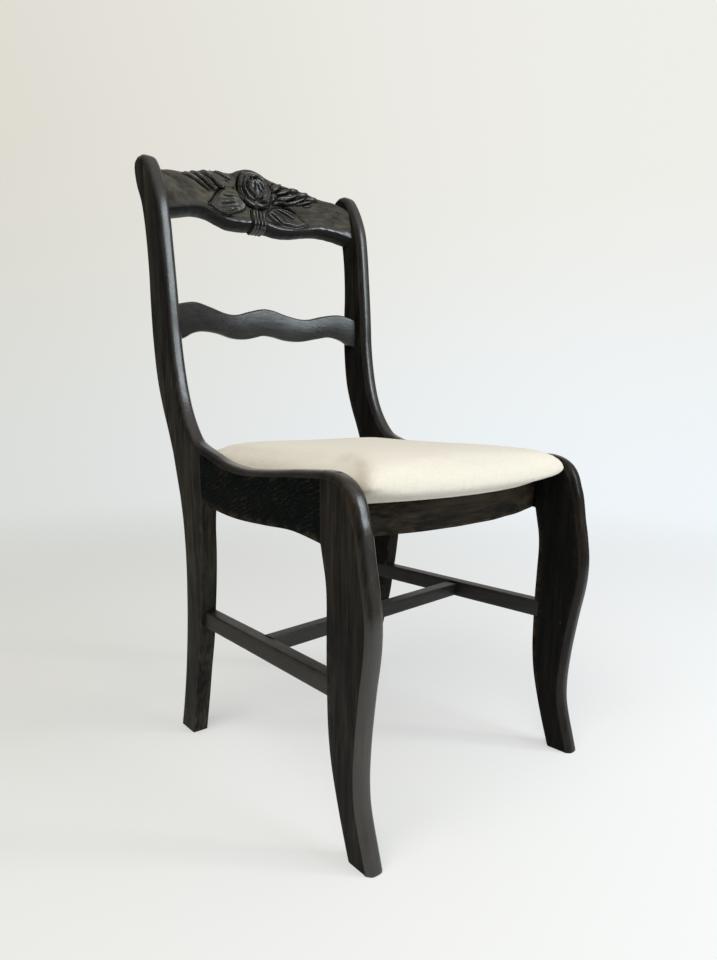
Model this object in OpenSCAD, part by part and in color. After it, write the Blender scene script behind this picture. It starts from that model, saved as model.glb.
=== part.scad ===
/* [Side frames] */
// Height of the back posts
back_height = 841; // [780:1:900]
// How far the top of the right back post lies above the left one's
post_rise = 14; // [0:1:20]
// Height of the underside of the seat rails
rail_under = 371; // [340:1:400]
// Height of the side rail's top at the front leg
rail_top = 449; // [430:1:470]
// Height of the shoulder where the back post meets the side rail
shoulder_height = 457; // [440:1:475]
// Thickness of the side frame boards
board_t = 24; // [20:1:28]
// Depth of the rounding on the front and top edges
crown = 8.5; // [6:0.5:10]
// Length of the side rails between their joints
rail_len = 278; // [240:1:320]
// Distance of the rear joint behind the chair's centre
rear_joint_y = 98; // [80:0.5:120]
// Half the chair's width at its centre, to the outer faces
half_width = 207; // [190:1:230]
// Angle by which each side frame opens towards the front
splay = 3.07; // [0:0.01:5]

/* [Back] */
// Distance of the crest rail's underside below the top of the posts
crest_drop = 69; // [51:1:100]
// Thickness of the crest rail
crest_t = 24; // [18:1:26]
// Backward lean of the crest rail in degrees
crest_lean = 11; // [0:0.5:16]
// Distance of the crest's face behind the front edge of the post
crest_inset = 11; // [7:0.5:13]
// How far the crest and slat bow backwards at the middle
back_bow = 28; // [10:1:40]
// Distance of the slat's underside below the top of the posts
slat_drop = 222; // [191:1:280]
// Height of the slat at the middle
slat_h = 41; // [34:1:50]
// Thickness of the slat
slat_t = 11; // [9:0.5:14]
// Distance of the slat's face behind the front edge of the post
slat_inset = 20; // [15:0.5:26]

/* [Seat] */
// Height of the front and rear rails
seat_rail_h = 38; // [34:1:42]
// Thickness of the front and rear rails
seat_rail_t = 22; // [18:1:26]
// Distance from the front rail's face to the front leg joint
front_rail_back = 3; // [2:0.5:5]
// How far the front rail bows forward at the middle
front_bow = 36; // [10:1:45]
// Distance of the rear rail's front face behind the rear joint
rear_rail_back = 32; // [28:1:36]
// Thickness of the seat board
seat_board_t = 12; // [9:0.5:15]
// Height of the crown of the seat above its underside
seat_h = 54; // [44:1:62]
// Distance of the seat's front corner ahead of the front leg joint
seat_front = 49; // [36:1:56]
// How far the seat's front edge bows forward
seat_bow = 11; // [0:1:16]
// Distance of the seat's tucked lower edge ahead of the front rail
seat_tuck = 10; // [4:1:14]
// Distance of the seat's back edge behind the rear joint
seat_rear = 55; // [40:1:64]
// Gap between the seat and the side frames
seat_gap = 1; // [0.5:0.5:3]
// Thickness of the seat cover
cover_t = 1.2; // [0.8:0.1:2]
// Width of the cover turned under the board
cover_margin = 25; // [15:1:40]

/* [Stretchers] */
// Height of the underside of the side stretchers
stretcher_low = 198; // [160:1:230]
// How far the right stretcher lies above that height and the left one below
stretcher_rise = 6.5; // [0:0.5:10]
// Height of the side stretchers
stretcher_h = 25; // [18:1:28]
// Thickness of the side stretchers
stretcher_t = 19; // [14:1:19]
// Height and thickness of the cross stretcher
cross_t = 20; // [14:1:22]
// Distance of the cross stretcher's middle in front of the rear joint
cross_forward = 135; // [110:1:170]

/* [Fasteners] */
// Diameter of the frame dowels
dowel_d = 8; // [6:1:10]
// Length of the frame dowels
dowel_len = 36; // [28:1:40]
// Diameter of the thin dowels
thin_dowel_d = 6; // [5:1:7]
// Depth of the thin dowels in a side frame
thin_dowel_in = 12; // [8:1:14]
// Depth of the thin dowels in a cross member
thin_dowel_out = 20; // [14:1:24]
// Depth of the thin dowels in a side stretcher
stretcher_dowel_in = 9; // [6:1:11]
// Leg length of the corner blocks
block_leg = 52; // [48:1:60]
// Height of the corner blocks
block_h = 28; // [24:1:34]
// Diameter of the block and seat screws
screw_d = 4; // [3.5:0.1:4.5]
// Diameter of the screw heads
screw_head_d = 8; // [7:0.5:9]
// Height of the screw heads
screw_head_h = 3; // [2:0.5:4]
// Length of a block screw behind its head
block_screw_len = 27; // [22:1:30]
// Depth of a seat screw in the board
seat_screw_in = 9; // [6:0.5:10]
// Height of the slat's tenons
tenon_h = 24; // [16:1:28]
// Length of the slat's tenons
tenon_len = 12; // [8:1:16]
// Thickness of the slat's tenons
tenon_t = 6; // [4:0.5:7]

/* [Hidden] */
ebony = [0.09, 0.09, 0.1];
beech = [0.78, 0.62, 0.42];
ply = [0.72, 0.56, 0.36];
linen = [0.9, 0.87, 0.78];
steel = [0.6, 0.6, 0.62];

// Clearances: glued bores, tenons, stacked seat parts
bore_gap = 0.1;
tenon_gap = 0.2;
layer_gap = 0.3;

front_joint_y = rear_joint_y - rail_len;
seat_rail_top = rail_under + seat_rail_h;
seat_low = seat_rail_top + layer_gap;
seat_board_low = seat_low + cover_t + layer_gap;
seat_board_top = seat_board_low + seat_board_t;
post_span = back_height - rail_under;
crest_low = back_height - crest_drop;
slat_low = back_height - slat_drop;
arc_steps = 6;

// A smooth curve through a list of points
function blend(a, b, c, d, t) =
    0.5 * (2 * b + (c - a) * t + (2 * a - 5 * b + 4 * c - d) * t * t
    + (3 * b - a - 3 * c + d) * t * t * t);
function curve_at(p, t) =
    let (i = min(floor(t), len(p) - 2))
    blend(p[max(i - 1, 0)], p[i], p[i + 1], p[min(i + 2, len(p) - 1)], t - i);
function curve(p, n) = [for (k = [0:n]) curve_at(p, k * (len(p) - 1) / n)];
function reversed(p) = [for (i = [len(p) - 1:-1:0]) p[i]];
function unit(v) = v / norm(v);
function fixed_turn(i, turns, turn) =
    let (hit = [for (f = turns) if (f[0] == i) f[1]])
    len(hit) > 0 ? hit[0] : turn;

// Half the space between the inner faces of the side frames at depth y
function inner_half(y) =
    half_width - board_t / cos(splay) - tan(splay) * y;

// Across the rounded edge: [distance from the outer face, drop]. Its middle is
// nearly flat.
crown_power = 4;
crown_arc = [for (k = [0:arc_steps])
    let (t = sin(90 * (2 * k / arc_steps - 1)))
    [board_t / 2 * (1 + t), crown * pow(abs(t), crown_power)]];

// A flat board in the YZ plane between two paired edges. Its first edge is
// rounded by the crown where round_by is 1. turns gives set rounding
// directions at single points of that edge.
module crowned_board(edge, back, round_by, turns) {
    n = len(edge);
    loop = concat(edge, reversed(back));
    count = len(loop);
    inward = [for (i = [0:n - 1])
        let (
            before = loop[(i + count - 1) % count],
            after = loop[(i + 1) % count],
            along = unit(after - before),
            side = [-along[1], along[0]],
            sign = side * (back[i] - edge[i]) < 0 ? -1 : 1
        )
        fixed_turn(i, turns, sign * side) * round_by[i]];
    points = [for (c = crown_arc) for (i = [0:count - 1])
        let (p = i < n ? loop[i] + inward[i] * c[1] : loop[i])
        [-c[0], p[0], p[1]]];
    walls = [for (k = [0:arc_steps - 1]) for (i = [0:count - 1])
        let (
            a = k * count + i,
            b = k * count + (i + 1) % count
        )
        each [[a, b, a + count], [b, b + count, a + count]]];
    last = arc_steps * count;
    faces = [for (i = [0:n - 2])
        let (j = count - 1 - i)
        each [
            [i + 1, i, j], [j - 1, i + 1, j],
            [last + i, last + i + 1, last + j],
            [last + i + 1, last + j - 1, last + j]
        ]];
    polyhedron(points, concat(walls, faces), 4);
}

// Side frame placing: x = 0 is the outer face, and -board_t the inner face
module on_right() {
    translate([half_width, 0, 0]) rotate([0, 0, splay]) children();
}
module on_side(side) {
    mirror([side < 0 ? 1 : 0, 0, 0]) on_right() children();
}

// Back post, as [distance behind the rear joint, share of the height above
// the rails] for the upper edges and of the height below for the lower ones
post_front_upper = [
    [137, 1.002], [124, 0.988], [109, 0.942], [97, 0.882], [91, 0.812],
    [87, 0.732], [83, 0.645], [80, 0.565], [78, 0.505], [73, 0.43],
    [65, 0.355], [54, 0.292], [39, 0.24], [21, 0.2]
];
post_rear_upper = [
    [146, 1.001], [155, 0.984], [156, 0.957], [151, 0.92], [139, 0.868],
    [132, 0.79],
    [129, 0.69], [130, 0.59], [129, 0.49], [123, 0.38], [111, 0.295],
    [96, 0.22], [84, 0.155]
];
post_rear_lower = [
    [68, 1.03], [62, 0.92], [60, 0.78], [63, 0.63], [69, 0.48],
    [80, 0.3], [94, 0.135], [108, 0]
];
post_front_lower = [
    [0, 1.025], [5, 0.93], [6, 0.83], [10, 0.71], [17, 0.58], [25, 0.45],
    [38, 0.31], [50, 0.17], [66, 0]
];
function above(p, side) = [
    rear_joint_y + p[0],
    rail_under + p[1] * post_span + (side > 0 ? post_rise * p[1] * p[1] : 0)
];
function below(p) = [rear_joint_y + p[0], p[1] * rail_under];
post_upper_steps = 30;
post_lower_steps = 18;
post_shoulder = [rear_joint_y, shoulder_height];
function post_edge(side) = concat(
    curve(concat([for (p = post_front_upper) above(p, side)], [post_shoulder]),
        post_upper_steps),
    curve([for (p = post_front_lower) below(p)], post_lower_steps));
function post_back(side) = concat(
    curve([for (p = post_rear_upper) above(p, side)], post_upper_steps),
    curve([for (p = post_rear_lower) below(p)], post_lower_steps));
function post_round(side) =
    [for (i = [0:len(post_edge(side)) - 1]) i <= post_upper_steps ? 1 : 0];

// Front edge of the left back post at height z
post_front_line = [for (p = post_front_upper)
    [rail_under + p[1] * post_span, rear_joint_y + p[0]]];
function post_front_y(z) = lookup(z, post_front_line);
post_foot_line = [for (p = post_front_lower)
    [p[1] * rail_under, rear_joint_y + p[0]]];

// Side rail top and underside, as [distance in front of the rear joint as a
// share of the rail's length, height above the underside level]
rail_crown = [
    [0, shoulder_height], [0.1, (shoulder_height + rail_top) / 2 - 3],
    [0.23, rail_top - 8], [0.4, rail_top - 12], [0.6, rail_top - 9],
    [0.8, rail_top - 4], [1, rail_top]
];
rail_sole = [
    [0, 9], [0.1, 5], [0.25, 1], [0.4, 0], [0.6, 2], [0.8, 4.5], [1, -1]
];
rail_steps = 16;
function rail_y(f) = rear_joint_y - f * rail_len;
rail_edge = curve([for (p = rail_crown) [rail_y(p[0]), p[1]]], rail_steps);
rail_back = curve([for (p = rail_sole) [rail_y(p[0]), rail_under + p[1]]],
    rail_steps);

// Front leg, as [distance in front of the joint, height]; the foot's points
// are shares of the underside height
leg_knee = [
    [0, rail_top], [18, rail_top - 1], [34, rail_top - 6],
    [47, rail_top - 15], [56, rail_top - 28], [62, rail_top - 44]
];
leg_front = [
    [67, 1.05], [73, 0.97], [79, 0.9], [84, 0.82], [85, 0.75], [83, 0.68],
    [78, 0.59], [74, 0.5], [71, 0.42], [69, 0.31], [71, 0.22], [77, 0.15],
    [85, 0.08], [94, 0]
];
leg_rear = [
    [0, -1], [5, -22], [9, -40], [11, -62], [11, -95], [11, -132]
];
leg_rear_low = [
    [12, 0.53], [14, 0.42], [19, 0.32], [28, 0.22], [39, 0.12], [54, 0]
];
function ahead(p) = [front_joint_y - p[0], p[1]];
function ahead_share(p) = [front_joint_y - p[0], p[1] * rail_under];
leg_steps = 34;
leg_edge = curve(concat([for (p = leg_knee) ahead(p)],
    [for (p = leg_front) ahead_share(p)]), leg_steps);
leg_back = curve(concat(
    [for (p = leg_rear) ahead([p[0], rail_under + p[1]])],
    [for (p = leg_rear_low) ahead_share(p)]), leg_steps);

module post_body(side) {
    crowned_board(post_edge(side), post_back(side), post_round(side),
        [[post_upper_steps, [0, -1]]]);
}
module rail_body() {
    crowned_board(rail_edge, rail_back, [for (p = rail_edge) 1],
        [[0, [0, -1]], [rail_steps, [0, -1]]]);
}
module leg_body() {
    crowned_board(leg_edge, leg_back, [for (p = leg_edge) 1],
        [[0, [0, -1]], [leg_steps, [1, 0]]]);
}

// Bores and dowels along the board (axis Y) and across it (axis X)
module rod_y(d, y, z, length) {
    translate([-board_t / 2, y, z]) rotate([90, 0, 0])
        cylinder(d = d, h = length, center = true, $fn = 32);
}
module rod_x(d, y, z, into, out) {
    translate([-board_t - out, y, z]) rotate([0, 90, 0])
        cylinder(d = d, h = into + out, $fn = 32);
}

// Places of the joints
post_dowel_low = 30;
post_dowel_high = 23;
leg_dowel_edge = 18.5;
seat_rail_dowel_edge = 9.5;
post_rail_z = [rail_under + post_dowel_low, shoulder_height - post_dowel_high];
leg_rail_z = [rail_under + leg_dowel_edge, rail_top - leg_dowel_edge];
seat_rail_z = [
    rail_under + seat_rail_dowel_edge, seat_rail_top - seat_rail_dowel_edge
];
front_rail_y = front_joint_y + front_rail_back + 0.4 * seat_rail_t;
rear_rail_y = rear_joint_y + rear_rail_back + seat_rail_t / 2;
function stretcher_under(side) = stretcher_low + side * stretcher_rise;
function stretcher_z(side) = stretcher_under(side) + stretcher_h / 2;
cross_drop = 2;
function cross_z(side) =
    stretcher_z(0) + (stretcher_h - cross_t) / 2 - cross_drop / 2
    + side * (stretcher_rise - cross_drop);
cross_y = rear_joint_y - cross_forward;
post_stretcher_y = lookup(stretcher_z(0), post_foot_line);
leg_stretcher_y = front_joint_y - 11.5;
crest_dowel_low = 20;
crest_dowel_pitch = 20;
// The crest dowels lie midway between the bowed rail's end and their tips
crest_dowel_back = back_bow
    * (1 - pow(1 - thin_dowel_out / inner_half(rear_joint_y), 2)) / 2;
crest_dowel_z = [
    crest_low + crest_dowel_low, crest_low + crest_dowel_low + crest_dowel_pitch
];

module along_dowels(gap) {
    for (z = post_rail_z) rod_y(dowel_d + gap, rear_joint_y, z, dowel_len + gap);
}
module leg_dowels(gap) {
    for (z = leg_rail_z) rod_y(dowel_d + gap, front_joint_y, z, dowel_len + gap);
}
module cross_rail_dowels(y, gap) {
    for (z = seat_rail_z)
        rod_x(thin_dowel_d + gap, y, z, thin_dowel_in + gap / 2,
            thin_dowel_out + gap / 2);
}
module stretcher_end_dowels(side, gap) {
    for (y = [post_stretcher_y, leg_stretcher_y])
        rod_y(thin_dowel_d + gap, y, stretcher_z(side), dowel_len + gap);
}
module cross_end_dowel(side, gap) {
    rod_x(thin_dowel_d + gap, cross_y, cross_z(side),
        stretcher_dowel_in + gap / 2, thin_dowel_out + gap / 2);
}
module crest_end_dowels(gap) {
    for (z = crest_dowel_z)
        rod_x(dowel_d + gap, crest_face_y(1, z) + crest_t / 2 + crest_dowel_back, z,
            thin_dowel_in + gap / 2, thin_dowel_out + gap / 2);
}
module slat_tenon(side, gap) {
    z = (slat_top(side) + slat_under(side)) / 2;
    translate([-board_t - 1 + tenon_len / 2, slat_face_y(1) + slat_t / 2, z])
        cube([tenon_len + 2 + gap, tenon_t + gap, tenon_h + gap], center = true);
}

// Crest rail: u runs from -1 to 1 between the posts
crest_top = [
    [-1, 53], [-0.88, 59], [-0.7, 66], [-0.5, 76], [-0.35, 81], [-0.2, 84],
    [-0.1, 91], [0, 96], [0.1, 95], [0.2, 89], [0.35, 85], [0.5, 82],
    [0.62, 79], [0.75, 73], [0.88, 70], [1, 62]
];
crest_sole = [
    [-1, -10], [-0.9, -5], [-0.8, 0], [-0.7, 5], [-0.6, 7], [-0.5, 6],
    [-0.4, 2], [-0.3, -1], [-0.15, 0], [0, 3], [0.12, 3], [0.25, 1],
    [0.4, 3], [0.55, 8], [0.7, 11], [0.85, 9], [1, 3]
];
crest_roll = 14;
crest_steps = 20;

function crest_face_y(u, z) =
    post_front_y(crest_low + 20) + crest_inset
    + tan(crest_lean) * (z - crest_low - 20) + back_bow * (1 - u * u);
function crest_section(u) =
    let (
        top = crest_low + lookup(u, crest_top),
        low = crest_low + lookup(u, crest_sole)
    )
    [
        [0, low + crest_roll], [0, top - 14], [2, top - 6], [7, top - 1],
        [crest_t / 2 + 2, top], [crest_t - 2, top - 2], [crest_t, top - 5],
        [crest_t, low + 2], [crest_t - 2, low], [crest_t / 2, low + 2],
        [4, low + 7]
    ];

// Back slat: a thin wavy board, bowed backwards
slat_wave = [
    [-1, -12], [-0.9, -7], [-0.76, -3], [-0.6, -7], [-0.43, -13],
    [-0.3, -13], [-0.15, -6], [0, 0], [0.12, -1], [0.25, -6], [0.4, -10],
    [0.52, -9], [0.66, -3], [0.8, 1], [0.9, 0], [1, -5]
];
slat_sole = [
    [-1, -20], [-0.9, -14], [-0.8, -6], [-0.68, -2], [-0.52, -3],
    [-0.36, -8], [-0.22, -8], [-0.1, -4], [0, 0], [0.12, -1], [0.26, -5],
    [0.42, -5], [0.6, 1], [0.74, 5], [0.86, 1], [0.94, -6], [1, -9]
];
function slat_top(u) = slat_low + slat_h + lookup(u, slat_wave);
function slat_under(u) = slat_low + lookup(u, slat_sole);
function slat_face_y(u) =
    post_front_y(slat_low + slat_h / 2) + slat_inset + back_bow * (1 - u * u);
function slat_section(u) =
    let (
        top = slat_top(u),
        low = slat_under(u)
    )
    [
        [0, low + 3], [0, top - 3], [3, top], [slat_t - 3, top],
        [slat_t, top - 3], [slat_t, low + 3], [slat_t - 3, low], [3, low]
    ];

// A closed skin over rings of equal length, given as lists of 3D points. Each
// end is a fan about its middle.
function middle(r) = [for (k = [0:2]) [for (p = r) p[k]] * [for (p = r) 1 / len(r)]];
module ring_skin(rings) {
    n = len(rings[0]);
    m = len(rings);
    points = concat([for (r = rings) each r],
        [middle(rings[0]), middle(rings[m - 1])]);
    sides = [for (k = [0:m - 2]) for (i = [0:n - 1])
        let (
            a = k * n + i,
            b = k * n + (i + 1) % n
        )
        each [[a, a + n, b], [b, a + n, b + n]]];
    fans = [for (i = [0:n - 1])
        let (j = (i + 1) % n, last = (m - 1) * n)
        each [[i, j, m * n], [last + j, last + i, m * n + 1]]];
    polyhedron(points, concat(sides, fans), 4);
}

// A cross member between the posts: each section is spread to their faces
function crest_ring(u) = [for (p = reversed(crest_section(u)))
    let (y = crest_face_y(u, p[1]) + p[0])
    [u * inner_half(y), y, p[1]]];
function slat_ring(u) = [for (p = reversed(slat_section(u)))
    let (y = slat_face_y(u) + p[0])
    [u * inner_half(y), y, p[1]]];

// Plan of the bowed front rail, from the left end to the right end
front_rail_steps = 20;
front_face = [for (k = [0:front_rail_steps])
    let (
        u = 2 * k / front_rail_steps - 1,
        y = front_joint_y + front_rail_back - front_bow * (1 - u * u)
    )
    [u * inner_half(y), y]];
front_inner = [for (k = [0:front_rail_steps])
    let (
        u = 2 * k / front_rail_steps - 1,
        y = front_joint_y + front_rail_back + seat_rail_t
            - front_bow * (1 - u * u)
    )
    [u * inner_half(y), y]];

// Plan of the seat, drawn in by e from its edges. Its front edge runs from
// the full front, at a tuck of 0, to the line of the front rail, at 1.
seat_corner = 7;
function seat_half(y, e) = inner_half(y) - seat_gap - e;
function seat_front_y(u, e, tuck) =
    front_joint_y + e
    - (seat_front + seat_bow * (1 - u * u)) * (1 - tuck)
    + (front_rail_back - seat_tuck - front_bow * (1 - u * u)) * tuck;
function seat_plan(e, tuck) =
    let (
        r = max(seat_corner - e / 4, 4),
        back_y = rear_joint_y + seat_rear - e,
        front_y = seat_front_y(1, e, tuck),
        back_x = seat_half(back_y, e),
        side_n = 7,
        front_n = 14
    )
    concat(
        [for (k = [-3:3]) [k * (back_x - r) / 3, back_y]],
        [for (a = [60, 30]) [back_x - r + r * cos(a), back_y - r + r * sin(a)]],
        [for (k = [0:side_n])
            let (y = back_y - r + (front_y + 2 * r - back_y) * k / side_n)
            [seat_half(y, e), y]],
        [for (a = [-30, -60])
            [seat_half(front_y, e) - r + r * cos(a), front_y + r + r * sin(a)]],
        [for (k = [0:front_n])
            let (u = 1 - 2 * k / front_n)
            [u * (seat_half(front_y, e) - r), seat_front_y(u, e, tuck)]],
        [for (a = [-60, -30])
            [-seat_half(front_y, e) + r - r * cos(a), front_y + r + r * sin(a)]],
        [for (k = [side_n:-1:0])
            let (y = back_y - r + (front_y + 2 * r - back_y) * k / side_n)
            [-seat_half(y, e), y]],
        [for (a = [30, 60])
            [-back_x + r - r * cos(a), back_y - r + r * sin(a)]]
    );

// Seat form: [inset, height as a share of seat_h, tuck], drawn in at its sides
// and crowned on top. skin sets it in by a wall all round.
seat_profile = [
    [3, 0, 1], [1, 0.1, 0.8], [0, 0.27, 0.2], [0, 0.42, 0], [3, 0.58, 0],
    [9, 0.72, 0], [22, 0.83, 0], [48, 0.92, 0], [85, 0.98, 0], [125, 1, 0]
];
module seat_form(skin) {
    rings = [for (p = seat_profile)
        let (
            low = seat_low + skin,
            z = low + p[1] * (seat_h - 2 * skin)
        )
        [for (q = seat_plan(p[0] + skin, p[2])) [q[0], q[1], z]]];
    ring_skin([for (r = rings) reversed(r)]);
}
board_inset = 6.5;
module seat_board_plan(grow) {
    polygon(seat_plan(board_inset - grow, 1));
}

// Corner blocks: their plan follows the inner faces of the two members
block_steps = 3;
block_nose = 8;
block_first = front_rail_steps - block_steps;
front_block_y = front_joint_y + front_rail_back + seat_rail_t;
block_rear_y = rear_joint_y + rear_rail_back;
function block_front_plan() =
    let (
        rail = [for (i = [block_first:front_rail_steps]) front_inner[i]],
        y_end = front_block_y + block_leg
    )
    concat(rail, [
        [inner_half(y_end), y_end], [inner_half(y_end) - block_nose, y_end],
        [rail[0][0], rail[0][1] + block_nose]
    ]);
function block_rear_plan() =
    let (
        y_end = block_rear_y - block_leg,
        x = inner_half(block_rear_y)
    )
    [
        [x, block_rear_y], [x - block_leg, block_rear_y],
        [x - block_leg, block_rear_y - block_nose],
        [inner_half(y_end) - block_nose, y_end], [inner_half(y_end), y_end]
    ];
block_top = seat_rail_top;
block_low = block_top - block_h;
block_wall = 12;
screw_gap = 0.2;
// The side screws stop this far short of the frame dowels
side_screw_short = 1.5;
side_screw_len = block_wall + (board_t - dowel_d) / 2 - side_screw_short;
side_screw_z = block_low + 9;
rail_screw_z = block_top - 7;
side_screw_y = [front_block_y + 0.6 * block_leg, rear_joint_y + 13];
front_screw_u = 0.8;
front_screw_x = front_screw_u * inner_half(front_block_y);
front_screw_y = front_block_y - front_bow * (1 - pow(front_screw_u, 2));
rear_screw_x = inner_half(block_rear_y) - block_leg + block_nose;
seat_screw_side = cover_margin + seat_gap + 5;
seat_screw_at = [
    [inner_half(front_block_y) - seat_screw_side, front_block_y + block_nose],
    [inner_half(block_rear_y) - seat_screw_side, block_rear_y - block_nose]
];

// A screw along +Z from the underside of its head, with a clearance
module screw(length, gap, head_room) {
    cylinder(d = screw_d + gap, h = length + gap, $fn = 24);
    translate([0, 0, -screw_head_h - head_room])
        cylinder(d = screw_head_d + gap, h = screw_head_h + head_room, $fn = 24);
}
module side_screw(i, gap, head_room) {
    on_right() translate([-board_t - block_wall, side_screw_y[i], side_screw_z])
        rotate([0, 90, 0]) screw(side_screw_len, gap, head_room);
}
module front_screw(gap, head_room) {
    translate([front_screw_x, front_screw_y + block_wall, rail_screw_z])
        rotate([90, 0, 0]) screw(block_screw_len, gap, head_room);
}
module rear_screw(gap, head_room) {
    translate([rear_screw_x, block_rear_y - block_wall, rail_screw_z])
        rotate([-90, 0, 0]) screw(block_screw_len, gap, head_room);
}
module seat_screw(i, gap, head_room) {
    head_z = block_low + 4;
    translate([seat_screw_at[i][0], seat_screw_at[i][1], head_z])
        screw(seat_board_low + seat_screw_in - head_z, gap, head_room);
}
module both_sides() {
    children();
    mirror([1, 0, 0]) children();
}

module back_post(side) {
    color(ebony) difference() {
        on_side(side) difference() {
            post_body(side);
            along_dowels(2 * bore_gap);
            cross_rail_dowels(rear_rail_y, 2 * bore_gap);
            stretcher_end_dowels(side, 2 * bore_gap);
            crest_end_dowels(2 * bore_gap);
            slat_tenon(side, 2 * tenon_gap);
        }
        mirror([side < 0 ? 1 : 0, 0, 0]) side_screw(1, screw_gap, 0);
    }
}
module side_rail(side) {
    color(ebony) mirror([side < 0 ? 1 : 0, 0, 0]) difference() {
        on_right() difference() {
            rail_body();
            along_dowels(2 * bore_gap);
            leg_dowels(2 * bore_gap);
            cross_rail_dowels(front_rail_y, 2 * bore_gap);
        }
        side_screw(0, screw_gap, 0);
    }
}
module front_leg(side) {
    color(ebony) on_side(side) difference() {
        leg_body();
        leg_dowels(2 * bore_gap);
        stretcher_end_dowels(side, 2 * bore_gap);
    }
}
module front_rail() {
    color(ebony) difference() {
        translate([0, 0, rail_under])
            linear_extrude(seat_rail_h)
                polygon(concat(front_face, reversed(front_inner)));
        both_sides() {
            on_right() cross_rail_dowels(front_rail_y, 2 * bore_gap);
            front_screw(screw_gap, 0);
        }
    }
}
module rear_rail() {
    near = rear_joint_y + rear_rail_back;
    far = near + seat_rail_t;
    color(ebony) difference() {
        translate([0, 0, rail_under]) linear_extrude(seat_rail_h) polygon([
            [-inner_half(near), near], [inner_half(near), near],
            [inner_half(far), far], [-inner_half(far), far]
        ]);
        both_sides() {
            on_right() cross_rail_dowels(rear_rail_y, 2 * bore_gap);
            rear_screw(screw_gap, 0);
        }
    }
}
module crest_rail() {
    color(ebony) difference() {
        ring_skin([for (k = [-crest_steps:crest_steps])
            crest_ring(k / crest_steps)]);
        both_sides() on_right() crest_end_dowels(2 * bore_gap);
    }
}
module back_slat() {
    color(ebony) {
        ring_skin([for (k = [-crest_steps:crest_steps])
            slat_ring(k / crest_steps)]);
        on_side(1) slat_tenon(1, 0);
        on_side(-1) slat_tenon(-1, 0);
    }
}
module side_stretcher(side) {
    reach = 40;
    color(ebony) on_side(side) difference() {
        translate([-board_t, leg_stretcher_y - reach, stretcher_under(side)])
            cube([stretcher_t, post_stretcher_y - leg_stretcher_y + 2 * reach,
                stretcher_h]);
        side_cut(concat(post_edge(side), reversed(post_back(side))));
        side_cut(concat(leg_edge, reversed(leg_back)));
        stretcher_end_dowels(side, 2 * bore_gap);
        cross_end_dowel(side, 2 * bore_gap);
    }
}
module side_cut(outline) {
    translate([1, 0, 0]) rotate([90, 0, -90])
        linear_extrude(board_t + 2) mirror([1, 0]) polygon(outline);
}
module cross_stretcher() {
    near = cross_y - cross_t / 2;
    far = cross_y + cross_t / 2;
    tilt = atan((cross_z(1) - cross_z(-1)) / (2 * inner_half(cross_y)));
    color(ebony) difference() {
        intersection() {
            translate([0, cross_y, cross_z(0)]) rotate([0, -tilt, 0])
                cube([3 * half_width, cross_t, cross_t], center = true);
            linear_extrude(2 * stretcher_low) polygon([
                [-inner_half(near), near], [inner_half(near), near],
                [inner_half(far), far], [-inner_half(far), far]
            ]);
        }
        on_side(1) cross_end_dowel(1, 2 * bore_gap);
        on_side(-1) cross_end_dowel(-1, 2 * bore_gap);
    }
}
module corner_block_front(side) {
    color(beech) mirror([side < 0 ? 1 : 0, 0, 0]) difference() {
        translate([0, 0, block_top - block_h]) linear_extrude(block_h)
            polygon(block_front_plan());
        side_screw(0, screw_gap, block_leg);
        front_screw(screw_gap, block_leg);
        seat_screw(0, screw_gap, block_h);
    }
}
module corner_block_rear(side) {
    color(beech) mirror([side < 0 ? 1 : 0, 0, 0]) difference() {
        translate([0, 0, block_top - block_h]) linear_extrude(block_h)
            polygon(block_rear_plan());
        side_screw(1, screw_gap, block_leg);
        rear_screw(screw_gap, block_leg);
        seat_screw(1, screw_gap, block_h);
    }
}
module seat_board() {
    color(ply) difference() {
        translate([0, 0, seat_board_low]) linear_extrude(seat_board_t)
            seat_board_plan(0);
        both_sides() {
            seat_screw(0, screw_gap, 0);
            seat_screw(1, screw_gap, 0);
        }
    }
}
module seat_foam() {
    color("gold") difference() {
        seat_form(cover_t + layer_gap);
        translate([0, 0, seat_low - 1])
            linear_extrude(seat_board_top + layer_gap - seat_low + 1)
                seat_board_plan(layer_gap);
    }
}
module seat_cover() {
    color(linen) difference() {
        seat_form(0);
        seat_form(cover_t);
        translate([0, 0, seat_low - 1]) linear_extrude(cover_t + 2)
            polygon(seat_plan(cover_margin, 1));
    }
}
module crest_dowels() {
    color(beech) both_sides() on_right() crest_end_dowels(0);
}
module post_rail_dowels() {
    color(beech) both_sides() on_right() along_dowels(0);
}
module leg_rail_dowels() {
    color(beech) both_sides() on_right() leg_dowels(0);
}
module front_rail_dowels() {
    color(beech) both_sides() on_right() cross_rail_dowels(front_rail_y, 0);
}
module rear_rail_dowels() {
    color(beech) both_sides() on_right() cross_rail_dowels(rear_rail_y, 0);
}
module side_stretcher_dowels() {
    color(beech) for (side = [-1, 1]) on_side(side) stretcher_end_dowels(side, 0);
}
module cross_stretcher_dowels() {
    color(beech) for (side = [-1, 1]) on_side(side) cross_end_dowel(side, 0);
}
module corner_block_screws() {
    color(steel) both_sides() {
        side_screw(0, 0, 0);
        side_screw(1, 0, 0);
        front_screw(0, 0);
        rear_screw(0, 0);
    }
}
module seat_screws() {
    color(steel) both_sides() {
        seat_screw(0, 0, 0);
        seat_screw(1, 0, 0);
    }
}

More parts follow.
